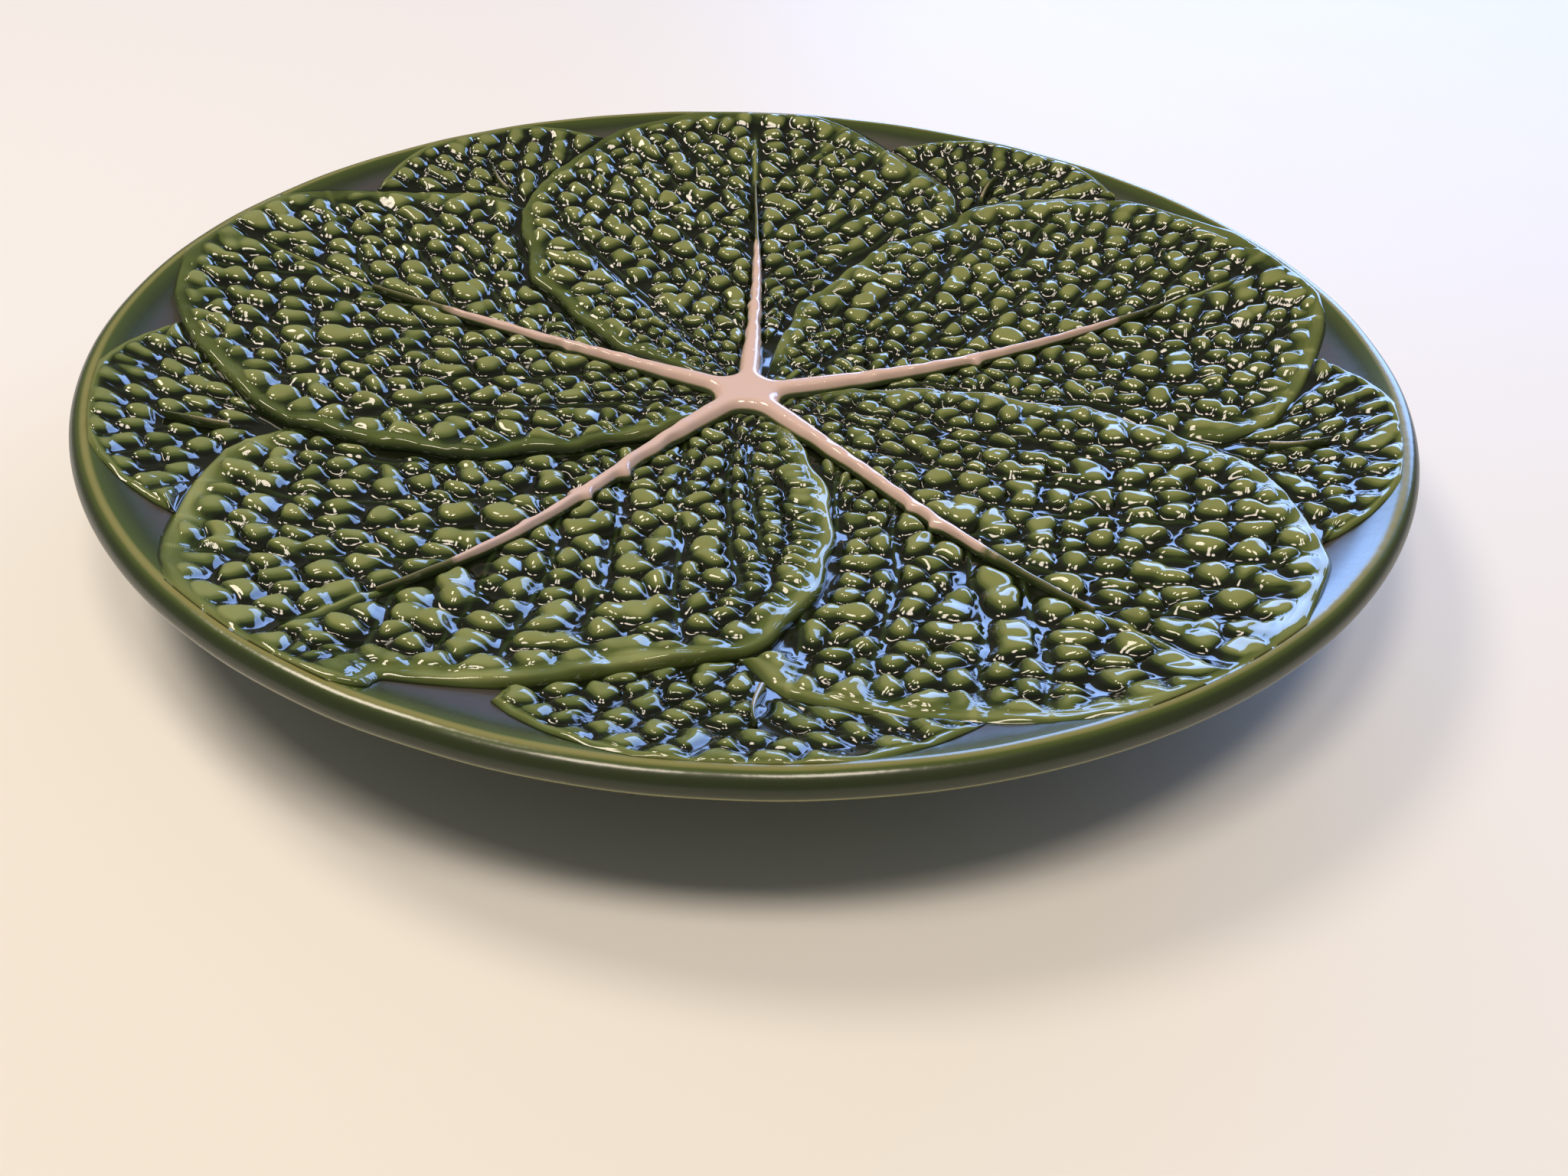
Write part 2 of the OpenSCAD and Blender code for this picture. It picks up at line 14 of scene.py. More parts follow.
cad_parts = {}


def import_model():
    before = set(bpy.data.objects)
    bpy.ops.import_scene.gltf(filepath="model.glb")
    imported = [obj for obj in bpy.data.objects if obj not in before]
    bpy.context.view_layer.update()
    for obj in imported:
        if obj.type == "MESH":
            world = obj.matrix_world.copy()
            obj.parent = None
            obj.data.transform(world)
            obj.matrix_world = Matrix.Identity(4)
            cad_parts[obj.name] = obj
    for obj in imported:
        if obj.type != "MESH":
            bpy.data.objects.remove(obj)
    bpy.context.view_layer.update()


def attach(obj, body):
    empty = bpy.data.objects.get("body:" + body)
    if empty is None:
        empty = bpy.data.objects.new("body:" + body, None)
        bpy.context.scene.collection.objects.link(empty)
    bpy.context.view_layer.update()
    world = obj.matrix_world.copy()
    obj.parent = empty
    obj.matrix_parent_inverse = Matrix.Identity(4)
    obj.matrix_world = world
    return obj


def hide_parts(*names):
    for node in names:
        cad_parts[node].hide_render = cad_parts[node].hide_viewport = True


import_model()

# %% [markdown]
# The sizes below are those of the part: the dish's section, the leaves' outlines as shares of the
# plate's radius and degrees from each midrib, and the ribs. A leaf drawn from the same numbers
# lies where the solid lies, apart from the small waves that its edges get here.

# %% Sizes of the plate, in millimetres and degrees
PLATE_R, PLATE_H = 132.5, 30.0
FLOOR_DEPTH, WALL, RIM_R, RIM_SLOPE = 20.5, 4.5, 2.6, 30.0
BOWL_POWER = 10
FOOT_D, FOOT_FACE_W, FOOT_ROOT_W, FOOT_EDGE_R = 124.0, 3.4, 8.4, 0.8
LEAF_T, LEAF_RISE, LIP_W, UNDER_LEAF_T = 2.2, 1.2, 3.0, 1.3
HUB_R, HUB_LEFT, HUB_FRONT, ARM_R = 7.6, 2.0, 1.5, 15.0
RIB_W, RIB_H, UNDER_RIB_W, UNDER_RIB_H = 5.4, 1.9, 1.6, 0.8
SEAT_GAP, BED_DEPTH = 0.12, 0.5
ROWS, COVERED_COLS, FREE_COLS, ROW_CLIMB, WANDER = 26, 8, 12, 18.0, 0.2

CREST_R = PLATE_R - RIM_R
RIM_MID_Z = PLATE_H - RIM_R
FLOOR_MID_Z = PLATE_H - FLOOR_DEPTH
UNDER_MID_Z = FLOOR_MID_Z - WALL
JOIN_R = CREST_R - RIM_R * math.sin(math.radians(RIM_SLOPE))
JOIN_Z = RIM_MID_Z + RIM_R * math.cos(math.radians(RIM_SLOPE))
UNDER_JOIN_R = CREST_R + RIM_R * math.sin(math.radians(RIM_SLOPE))
UNDER_JOIN_Z = RIM_MID_Z - RIM_R * math.cos(math.radians(RIM_SLOPE))
LEAF_IN_R = 0.8 * HUB_R
TIP_R = CREST_R - 0.2 * RIM_R
HUB_AT = np.array([-HUB_LEFT, -HUB_FRONT])
MM = 0.001
FAR = 1e3

LEAVES = ["right", "back", "left", "front_left", "front_right"]
UNDER_LEAVES = ["back_right", "back_left", "left", "front", "right"]
LEAF_TURNS = [17.2, 91.2, 163.3, 235.4, 303.3]
EDGE_IN_TURNS = [0, 1.5, -1.5, -3, -1]
EDGE_OUT_TURNS = [6.5, 3, 0.5, -6, 2.5]
RIB_REACH = [share * PLATE_R for share in (0.78, 0.755, 0.72, 0.805, 0.785)]
RIB_BOW = [-0.018, -0.013, -0.019, 0, 0.01]
RIB_SWAY = [0, 0, 0, -0.013, 0.006]
FREE_EDGE = np.array([[0.05, 62], [0.21, 61.5], [0.34, 57.5], [0.42, 53], [0.53, 49.5], [0.64, 43],
    [0.73, 38], [0.79, 31], [0.87, 23], [0.91, 18.5], [0.94, 15], [0.96, 11], [0.975, 8]])
COVERED_EDGE = np.array([[0.05, -34], [0.74, -34], [0.79, -32], [0.82, -30], [0.87, -23.5],
    [0.91, -18.2], [0.94, -14.5], [0.96, -11.5], [0.975, -8]])
UNDER_EDGE = np.array([[0.7, 18], [0.905, 17.5], [0.925, 15.5], [0.95, 12], [0.965, 9], [0.975, 6]])
RIB_WIDTHS = np.array([[0, 1], [0.14, 1], [0.28, 0.66], [0.45, 0.5], [0.7, 0.34], [1, 0.16]])
RIB_HEIGHTS = np.array([[0, 1], [0.14, 1], [0.45, 0.75], [0.8, 0.5], [1, 0.2]])
print("leaf outlines of", len(FREE_EDGE), "and", len(COVERED_EDGE), "points")

# %% [markdown]
# A few small functions carry the whole relief. They take numpy arrays, so one call works out a
# whole surface at once.

# %% Helpers for numbers
def smooth(x, start, end):
    """0 before start, 1 after end, and three s squared less two s cubed in between."""
    s = np.clip((x - start) / (end - start), 0, 1)
    return s * s * (3 - 2 * s)


def swell(x):
    """Rounded shoulder: 0 at 0, steep at first, 1 from 1 on: one less (1 - x) to the power 2.2."""
    return 1 - (1 - np.clip(x, 0, 1)) ** 2.2


def ripple(x, y, wave, seed):
    """Soft unevenness between about -1 and 1: nine plane waves of nearly one length, added up."""
    rng = np.random.default_rng(seed)
    total = 0.0
    for turn, phase, stretch in zip(rng.uniform(0, math.pi, 9), rng.uniform(0, 2 * math.pi, 9),
            rng.uniform(0.75, 1.35, 9)):
        k = 2 * math.pi / (wave * stretch)
        total = total + np.sin(k * (x * math.cos(turn) + y * math.sin(turn)) + phase)
    return total / 3.4


def turn_from(a, b):
    """Degrees from direction a to direction b, from -180 to 180."""
    return (b - a + 540) % 360 - 180


def arc_deg(w, r):
    """Degrees that a length w spans on a circle of radius r."""
    return np.degrees(w / r)


def on_circle(r, degrees):
    """x and y of a radius and a direction: the radius times its cosine and times its sine."""
    return r * np.cos(np.radians(degrees)), r * np.sin(np.radians(degrees))


# %% [markdown]
# The dish is a smooth bowl with a rounded rim. Its section could be a curve drawn by hand, but a
# formula gives the height at any radius, and the leaves need that too, because they lie on it.

# %% The dish's section
def bowl(r, middle, end_r, end_z):
    """Height of a bowl: the middle, plus a square of the radius, plus its tenth power, which
    together end at end_z with the slope of the rim."""
    lift = (math.tan(math.radians(RIM_SLOPE)) * end_r - 2 * (end_z - middle)) / (BOWL_POWER - 2)
    rise = end_z - middle - lift
    return middle + rise * (r / end_r) ** 2 + lift * (r / end_r) ** BOWL_POWER


def floor_z(r):
    """Upper surface of the dish: the bowl, and past its join the rim's round top."""
    rim = RIM_MID_Z + np.sqrt(np.maximum(RIM_R ** 2 - (r - CREST_R) ** 2, 0))
    return np.where(r < JOIN_R, bowl(r, FLOOR_MID_Z, JOIN_R, JOIN_Z), rim)


def under_z(r):
    """Lower surface of the dish."""
    return bowl(r, UNDER_MID_Z, UNDER_JOIN_R, UNDER_JOIN_Z)


print("floor at the middle", round(float(floor_z(np.array(0.0))), 2), "crest", PLATE_H)

# %% [markdown]
# Blender takes a mesh fastest as flat arrays. This helper joins several sets of faces, each a
# table with one row per face, stores how much glaze lies on each point as an attribute that the
# material reads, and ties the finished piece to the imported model. A closed form over a grid has
# a dense upper side and a plain lower one, because the lower one never shows.

# %% Making a mesh from arrays
def make_piece(name, points, faces, glaze, material, slot, nodes):
    """A smooth closed piece from points in millimetres; glaze is 0 in valleys, 1 on crests."""
    mesh = bpy.data.meshes.new(name)
    mesh.vertices.add(len(points))
    mesh.vertices.foreach_set("co", (np.asarray(points) * MM).astype(np.float32).ravel())
    loops = np.concatenate([f.ravel() for f in faces])
    sizes = np.concatenate([np.full(len(f), f.shape[1]) for f in faces])
    mesh.loops.add(len(loops))
    mesh.loops.foreach_set("vertex_index", loops.astype(np.int32))
    mesh.polygons.add(len(sizes))
    mesh.polygons.foreach_set("loop_start", (np.cumsum(sizes) - sizes).astype(np.int32))
    mesh.update(calc_edges=True)
    mesh.validate()
    mesh.shade_smooth()
    layer = mesh.attributes.new("glaze", "FLOAT", "POINT")
    layer.data.foreach_set("value", np.asarray(glaze, dtype=np.float32).ravel())
    mesh.materials.append(material)
    piece = bpy.data.objects.new(name, mesh)
    bpy.context.scene.collection.objects.link(piece)
    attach(piece, "root")
    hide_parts(*nodes)
    print(name, len(points), "points,", int((sizes - 2).sum()), "triangles")
    return piece


def closed_grid(top, low, step):
    """Points and faces of a closed form between a grid top (rows, columns, 3) and a lower grid
    that keeps every step-th column: quads on both, quads down the sides, one face of step + 3
    corners per lower column at the inner and the outer end."""
    rows, cols = top.shape[0] - 1, top.shape[1] - 1
    low_cols = cols // step
    t = np.arange((rows + 1) * (cols + 1)).reshape(rows + 1, cols + 1)
    b = t.size + np.arange((rows + 1) * (low_cols + 1)).reshape(rows + 1, low_cols + 1)
    quads = [np.stack([t[:-1, :-1], t[1:, :-1], t[1:, 1:], t[:-1, 1:]], -1).reshape(-1, 4),
        np.stack([b[:-1, :-1], b[:-1, 1:], b[1:, 1:], b[1:, :-1]], -1).reshape(-1, 4),
        np.stack([t[:-1, 0], b[:-1, 0], b[1:, 0], t[1:, 0]], -1),
        np.stack([t[:-1, -1], t[1:, -1], b[1:, -1], b[:-1, -1]], -1)]
    span = np.arange(low_cols)[:, None] * step + np.arange(step + 1)[None, :]
    inner = np.hstack([b[0, :-1, None], t[0][span], b[0, 1:, None]])
    outer = np.hstack([b[-1, :-1, None], t[-1][span], b[-1, 1:, None]])[:, ::-1]
    points = np.concatenate([top.reshape(-1, 3), low.reshape(-1, 3)])
    return points, quads + [inner, outer]


def ring_faces(count, rings, closed):
    """Quads between rings of count points each, laid one after another; if closed, also from the
    last ring back to the first."""
    i = np.arange(rings if closed else rings - 1)[:, None] * count
    j = np.arange(count)[None, :]
    nxt = (j + 1) % count
    up = (i + count) % (rings * count)
    return np.stack([i + j, i + nxt, up + nxt, up + j], -1).reshape(-1, 4)


# %% [markdown]
# The glaze is one material idea used four times. Real glaze runs off the crests and pools in the
# valleys, so its colour follows the glaze attribute: thin and olive on top, deep green on the
# sides, nearly black where it lies thick, with a grey cast on the dish. Fine bubbles gather in
# the thick pools, so there it shines less. A slow noise on Object coordinates keeps two crests
# from being the same, and a very fine bump makes the reflections wander.

# %% Glaze materials
def glaze_material(name, stops, rough, pool_rough, coat, tint_scale, tint, bump):
    """Principled shader whose colour is a ramp over the glaze attribute plus a soft noise. In
    the pools, where the attribute is low, the roughness has its own value."""
    material = bpy.data.materials.new(name)
    material.use_nodes = True
    nodes, links = material.node_tree.nodes, material.node_tree.links
    shader = nodes["Principled BSDF"]
    shader.inputs["IOR"].default_value = 1.5
    shader.inputs["Coat Weight"].default_value = coat
    shader.inputs["Coat Roughness"].default_value = 0.03
    depth = nodes.new("ShaderNodeAttribute")
    depth.attribute_name = "glaze"
    where = nodes.new("ShaderNodeTexCoord")
    cloud = nodes.new("ShaderNodeTexNoise")
    cloud.inputs["Scale"].default_value = tint_scale
    cloud.inputs["Detail"].default_value = 4
    links.new(where.outputs["Object"], cloud.inputs["Vector"])
    shift = nodes.new("ShaderNodeMath")
    shift.operation = "MULTIPLY_ADD"
    shift.inputs[1].default_value = tint
    shift.inputs[2].default_value = -tint / 2
    links.new(cloud.outputs["Fac"], shift.inputs[0])
    level = nodes.new("ShaderNodeMath")
    level.operation = "ADD"
    level.use_clamp = True
    links.new(depth.outputs["Fac"], level.inputs[0])
    links.new(shift.outputs[0], level.inputs[1])
    ramp = nodes.new("ShaderNodeValToRGB")
    ramp.color_ramp.interpolation = "EASE"
    while len(ramp.color_ramp.elements) < len(stops):
        ramp.color_ramp.elements.new(0.5)
    for element, (at, colour) in zip(ramp.color_ramp.elements, stops):
        element.position = at
        element.color = (*colour, 1)
    links.new(level.outputs[0], ramp.inputs["Fac"])
    links.new(ramp.outputs["Color"], shader.inputs["Base Color"])
    change = nodes.new("ShaderNodeMapRange")
    change.inputs["From Max"].default_value = 0.4
    change.inputs["To Min"].default_value = pool_rough
    change.inputs["To Max"].default_value = rough
    links.new(level.outputs[0], change.inputs["Value"])
    links.new(change.outputs["Result"], shader.inputs["Roughness"])
    skin = nodes.new("ShaderNodeTexNoise")
    skin.inputs["Scale"].default_value = 420
    skin.inputs["Detail"].default_value = 2
    links.new(where.outputs["Object"], skin.inputs["Vector"])
    relief = nodes.new("ShaderNodeBump")
    relief.inputs["Strength"].default_value = bump
    relief.inputs["Distance"].default_value = 0.0004
    links.new(skin.outputs["Fac"], relief.inputs["Height"])
    links.new(relief.outputs["Normal"], shader.inputs["Normal"])
    return material


leaf_glaze = glaze_material("leaf_glaze", [
    (0.0, (0.006, 0.008, 0.003)), (0.20, (0.016, 0.028, 0.007)), (0.52, (0.090, 0.120, 0.030)),
    (1.0, (0.262, 0.290, 0.106))], 0.06, 0.09, 0.0, 60, 0.24, 0.03)
dish_glaze = glaze_material("dish_glaze", [
    (0.0, (0.045, 0.038, 0.032)), (0.30, (0.026, 0.038, 0.012)), (0.55, (0.060, 0.088, 0.018)),
    (0.80, (0.23, 0.22, 0.075)), (1.0, (0.44, 0.29, 0.16))], 0.20, 0.58, 0.05, 35, 0.14, 0.10)
cream_glaze = glaze_material("cream_glaze", [
    (0.0, (0.040, 0.062, 0.018)), (0.28, (0.11, 0.13, 0.045)), (0.5, (0.42, 0.34, 0.24)),
    (0.75, (0.67, 0.50, 0.43)), (1.0, (0.685, 0.505, 0.45))], 0.12, 0.2, 0.2, 80, 0.10, 0.05)
print("glazes", leaf_glaze.name, dish_glaze.name, cream_glaze.name)

# %% [markdown]
# The foot is left bare, so that the plate doesn't stick to the kiln shelf: matt clay, speckled,
# with the glaze stopping in a line near its root.

# %% Bare clay
bare_clay = glaze_material("bare_clay", [
    (0.0, (0.33, 0.21, 0.12)), (0.5, (0.50, 0.34, 0.21)), (1.0, (0.60, 0.43, 0.28))],
    0.8, 0.9, 0.0, 300, 0.5, 0.5)
print("clay", bare_clay.name)

# %% [markdown]
# The dish is a revolve. Its section runs from the middle of the floor over the rim and back under
# to the middle, and each point of it makes a ring. The poles are closed with one face each.

# %% Dish body
def revolve(name, section, glaze, segments, material, slot, nodes):
    """Each point (radius, height) of the section goes round as a ring: x is radius times the
    cosine, y is radius times the sine, and towards the rim the height sways a little, as a
    fired rim does. A section that starts and ends on the axis is capped."""
    angle = np.arange(segments) * 2 * math.pi / segments
    r, z = section[:, 0:1], section[:, 1:2]
    x, y = r * np.cos(angle), r * np.sin(angle)
    sway = 0.07 * ripple(x, y, 26, 7) * smooth(r, 118, 127)
    points = np.stack([x, y, z + sway], -1).reshape(-1, 3)
    capped = section[0, 0] < section[1, 0] and section[0, 0] < 1
    faces = [ring_faces(segments, len(section), not capped)[:, ::-1]]
    if capped:
        ring = np.arange(segments)[None, :]
        faces += [ring, ring[:, ::-1] + (len(section) - 1) * segments]
    return make_piece(name, points, faces, np.repeat(glaze, segments), material, slot, nodes)


top_r = np.concatenate([[0.4], np.linspace(3, JOIN_R, 66)[:-1]])
round_a = np.radians(np.linspace(90 + RIM_SLOPE, RIM_SLOPE - 90, 30))
low_r = np.linspace(UNDER_JOIN_R, 3, 56)[1:]
dish_section = np.concatenate([
    np.column_stack([top_r, floor_z(top_r)]),
    np.column_stack([CREST_R + RIM_R * np.cos(round_a), RIM_MID_Z + RIM_R * np.sin(round_a)]),
    np.column_stack([low_r, under_z(low_r)]), [[0.4, UNDER_MID_Z]]])
round_glaze = 0.27 + 0.50 * np.exp(-((np.degrees(round_a) - 96) / 27) ** 2) \
    + 0.62 * np.exp(-((np.degrees(round_a) + 22) / 9) ** 2)
floor_glaze = 0.05 + 0.45 * smooth(top_r, 122, 129.3)
dish_level = np.concatenate([floor_glaze, round_glaze, np.full(len(low_r) + 1, 0.45)])
revolve("plate_dish", dish_section, dish_level, 600, dish_glaze, "dish_glaze", ["dish_body"])

# %% [markdown]
# The foot is a turned ring with a flat face and softened edges. It is a revolve too, of a closed
# section: a quarter round at each edge of the face, and straight sides that run up to the dish.

# %% Foot ring
foot_in, foot_out = (FOOT_D - FOOT_FACE_W) / 2, (FOOT_D + FOOT_FACE_W) / 2
root_in, root_out = (FOOT_D - FOOT_ROOT_W) / 2, (FOOT_D + FOOT_ROOT_W) / 2
turn_in = np.radians(np.linspace(180, 270, 7))
turn_out = np.radians(np.linspace(270, 360, 7))
side = np.linspace(0, 1, 10)[:, None]
inner_edge = np.column_stack([foot_in + FOOT_EDGE_R * (1 + np.cos(turn_in)),
    FOOT_EDGE_R * (1 + np.sin(turn_in))])
outer_edge = np.column_stack([foot_out - FOOT_EDGE_R * (1 - np.cos(turn_out)),
    FOOT_EDGE_R * (1 + np.sin(turn_out))])
root_out_at = np.array([root_out, under_z(root_out)])
root_in_at = np.array([root_in, under_z(root_in)])
foot_section = np.concatenate([inner_edge, outer_edge,
    outer_edge[-1] + side[1:] * (root_out_at - outer_edge[-1]),
    root_in_at + side[:-1] * (inner_edge[0] - root_in_at)])[::-1]
revolve("plate_foot", foot_section, np.full(len(foot_section), 0.6), 480, bare_clay,
    "bare_clay", ["foot_ring"])

# %% [markdown]
# The outline of a leaf is two functions of the radius: how far its free edge and its covered edge
# lie from the midrib, in degrees. The free edge of one leaf is also where the next one
# disappears, so the same function serves both and the lap always closes. A slow wave, the same
# for both, takes away the drawn look.

# %% Edges of the leaves
def before(i):
    """Number of the leaf that laps over leaf i."""
    return (i + 4) % 5


def after(i):
    """Number of the leaf that leaf i laps over."""
    return (i + 1) % 5


def edge_wave(i, r, amount):
    """Sideways wander of an edge in degrees: two sines of the radius, faded out at both ends."""
    fade = smooth(r, 16, 36) * (1 - smooth(r, 112, 124))
    return arc_deg(amount * fade * (np.sin(r / 2.9 + 2.1 * i) + 0.8 * np.sin(r / 5.3 + 1.3 * i)), r)


def free_edge(i, r):
    """The common outline, turned a little for each leaf inside and outside, plus the wave."""
    outer = smooth(r / PLATE_R, 0.70, 0.79)
    turn = EDGE_IN_TURNS[i] * (1 - outer) + EDGE_OUT_TURNS[i] * outer
    kept = smooth(r / PLATE_R, 0.08, 0.2) * (1 - smooth(r / PLATE_R, 0.93, 0.97))
    common = np.interp(r / PLATE_R, FREE_EDGE[:, 0], FREE_EDGE[:, 1])
    return common + turn * kept + edge_wave(i, r, 0.6)


def covering_edge(i, r):
    """Free edge of the leaf before, seen from leaf i's direction."""
    return free_edge(before(i), r) + turn_from(LEAF_TURNS[i], LEAF_TURNS[before(i)])


def own_covered_edge(i, r):
    """The outline that leaf i would have on its covered side if no leaf lapped over it."""
    return np.interp(r / PLATE_R, COVERED_EDGE[:, 0], COVERED_EDGE[:, 1]) + edge_wave(i + 7, r, 0.4)


def covered_edge(i, r):
    """The leaf's own outline, or the edge of the leaf that laps over it where that comes first."""
    return np.maximum(own_covered_edge(i, r), covering_edge(i, r))


def square_to(edge, i, r, arc):
    """Distance square to an edge: the distance along the circle over the root of one plus the
    square of the edge's slope, taken from two radii a millimetre apart."""
    slope = r * np.radians(edge(i, r + 0.5) - edge(i, r - 0.5))
    return arc / np.sqrt(1 + slope ** 2)


# %% [markdown]
# A midrib isn't straight: it starts beside the plate's axis, bows to one side and may bend back.
# A spline could be drawn for each, but two sine waves with amounts for each leaf are enough, and
# the same line then also places the cushions and the side veins.

# %% Lines of the ribs
def rib_deg(i, r):
    """Degrees by which midrib i leaves its direction: a start at the pad, a bow and an S bend."""
    along = np.minimum(r / RIB_REACH[i], 1)
    turn = math.radians(LEAF_TURNS[i])
    start = HUB_LEFT * math.sin(turn) - HUB_FRONT * math.cos(turn)
    bend = RIB_BOW[i] * np.sin(math.pi * along) + RIB_SWAY[i] * np.sin(2 * math.pi * along)
    return arc_deg(start * (1 - along) + RIB_REACH[i] * bend, r)


def rib_half_w(i, r):
    """Half width of midrib i, in steps of its reach joined by straight lines."""
    return RIB_W / 2 * np.interp(r / RIB_REACH[i], RIB_WIDTHS[:, 0], RIB_WIDTHS[:, 1])


def rib_top(i, r):
    """Height of midrib i over its bed, joined in the same way."""
    return RIB_H * np.interp(r / RIB_REACH[i], RIB_HEIGHTS[:, 0], RIB_HEIGHTS[:, 1])


# %% [markdown]
# The blade is puckered: between the side veins it swells into hundreds of small cushions, pressed
# against each other. They start where the solid has its blisters, on every other place of a grid
# whose rows climb outward from the midrib. Each is shifted a little, some are left out, and
# others are thrown in where there is room.

# %% Places of the cushions
def scatter(i, row, place, phase):
    """Number from -1 to 1 that changes from place to place of the grid, as in the solid."""
    return np.sin(np.radians(97 * row + 161 * place + 53 * i + phase))


def leaf_marks(i, r):
    """Covered edge, both sides of the midrib's bed, and free edge, in degrees in rising order."""
    low, high = covered_edge(i, r), free_edge(i, r)
    least = np.minimum(arc_deg(0.3 * RIB_W, r), (high - low) / 4)
    bed = arc_deg(rib_half_w(i, r) + 0.15 * LIP_W, r)
    bed_low = np.maximum(np.minimum(rib_deg(i, r) - bed, high - 2 * least), low + least)
    bed_high = np.minimum(np.maximum(rib_deg(i, r) + bed, bed_low + least / 2), high - least)
    return low, bed_low, bed_high, high


def grid_places(i):
    """x and y of the solid's blisters on leaf i: row and column numbers that wander a little give
    a radius, which climbs with the column, and a share of the way from the midrib to the edge."""
    found = []
    for side, cols in ((-1, COVERED_COLS), (1, FREE_COLS)):
        row, col = np.meshgrid(np.arange(1, ROWS), np.arange(1, cols - 1), indexing="ij")
        place = COVERED_COLS - col if side < 0 else COVERED_COLS + 1 + col
        loose = WANDER * smooth((LEAF_IN_R + (TIP_R - LEAF_IN_R) * row / ROWS) / PLATE_R, 0.08, 0.2)
        line = row + loose * scatter(i, row, place, 0)
        mid_r = LEAF_IN_R + (TIP_R - LEAF_IN_R) * line / ROWS
        low, bed_low, bed_high, high = leaf_marks(i, mid_r)
        width = np.radians(bed_low - low if side < 0 else high - bed_high) * mid_r
        lip_share = np.minimum(LIP_W / width, 0.3)
        share = (1 - lip_share) * (col + loose * scatter(i, row, place, 90)) / (cols - 2)
        r = mid_r + ROW_CLIMB * np.sin(math.pi * line / ROWS) * share
        low, bed_low, bed_high, high = leaf_marks(i, r)
        a = bed_low + (low - bed_low) * share if side < 0 else bed_high + (high - bed_high) * share
        x, y = on_circle(r, a + LEAF_TURNS[i])
        raised = (row + place) % 2 == 0
        found.append(np.column_stack([x[raised], y[raised]]))
    return np.concatenate(found)


def fill_places(rng, spots, tries, low, high, spacing, room):
    """Adds random places in a box where there is room, none nearer to another than its spacing."""
    new = rng.uniform(low, high, (tries, 2))
    gap = spacing(new[:, 0], new[:, 1])
    fit = room(new[:, 0], new[:, 1]) > 0.30 * gap
    for spot, least in zip(new[fit], gap[fit]):
        if (np.hypot(spots[:, 0] - spot[0], spots[:, 1] - spot[1]) > least).all():
            spots = np.vstack([spots, spot])
    return spots


def gaps_between(spots):
    """Table of the distances between all places, endless on the diagonal."""
    gaps = np.hypot(spots[:, None, 0] - spots[None, :, 0], spots[:, None, 1] - spots[None, :, 1])
    np.fill_diagonal(gaps, np.inf)
    return gaps


def tie_neighbours(rng, spots, share):
    """A share of the places takes the number of its nearest neighbour, so both count as one."""
    group = np.arange(len(spots))
    tied = rng.random(len(spots)) < share
    group[tied] = group[gaps_between(spots).argmin(1)[tied]]
    return group


# %% [markdown]
# Each place on the blade belongs to its nearest cushion, and its height depends on how far it is
# from the border with every other one. All borders push together: their shares are added as
# cubes, so a corner where three cushions meet is rounded and not pointed. Tied neighbours
# push each other only half, and read as one long cushion with a waist.

# %% Cushions
TIED_PUSH, ROUNDING, BLOCK, SIGHT = 0.48, 0.68, 24, 10


def cushions(rng, x, y, spots, group, room):
    """Height from 0 in a valley to about 1 on a cushion. The border with place j lies at (d_j
    squared less d_1 squared) over twice the distance between both places; its push is 1 beside
    the valley and falls to 0 at the middle of the cushion; the height is one less the square of
    the joint push, to the power 0.6, times a gain that is larger on a large cushion. The
    distance from the cushion's own middle joins in, which keeps the outline round. Where the
    joint push passes 1 the valley sinks on, up to 0.3, so its bottom is a crease. room is the
    distance from lips, ribs and veins, which push in the same way. The grid is worked out in
    blocks, each with the places that lie in its sight, to save memory."""
    height = np.zeros(x.shape)
    half = 0.5 * np.sort(gaps_between(spots), axis=1)[:, :4].mean(1)
    count = np.maximum(np.bincount(group, minlength=len(spots)), 1)
    shared = (np.bincount(group, half, len(spots)) / count)[group]
    gain = (shared / 3.1) ** 0.7 * rng.uniform(0.78, 1.15, len(spots))[group]
    for top in range(0, x.shape[0], BLOCK):
        for left in range(0, x.shape[1], BLOCK):
            cut = (slice(top, top + BLOCK), slice(left, left + BLOCK))
            px, py = x[cut].ravel(), y[cut].ravel()
            near = (spots[:, 0] > px.min() - SIGHT) & (spots[:, 0] < px.max() + SIGHT) \
                & (spots[:, 1] > py.min() - SIGHT) & (spots[:, 1] < py.max() + SIGHT)
            if near.sum() < 2:
                continue
            q, s, g = spots[near], half[near], group[near]
            square = (px[:, None] - q[:, 0]) ** 2 + (py[:, None] - q[:, 1]) ** 2
            own = square.argmin(1)
            row = np.arange(len(px))
            apart = np.hypot(q[own][:, None, 0] - q[None, :, 0], q[own][:, None, 1] - q[None, :, 1])
            apart[row, own] = 1
            border = (square - square[row, own][:, None]) / (2 * apart)
            border[row, own] = np.inf
            reach = s[own][:, None]
            push = np.maximum(1 - border / (0.95 * reach), 0)
            push = push * np.where(g[own][:, None] == g[None, :], TIED_PUSH, 1.0)
            edge = np.clip(1 - room[cut].ravel() / (0.8 * s[own]), 0, 1)
            middle_out = ROUNDING * np.sqrt(square[row, own]) / s[own]
            joint = np.cbrt((push ** 3).sum(1) + edge ** 3 + middle_out ** 3)
            dome = gain[near][own] * (1 - np.minimum(joint, 1) ** 2) ** 0.6
            height[cut] = (dome - 1.2 * np.clip(joint - 1, 0, 0.25)).reshape(x[cut].shape)
    return height


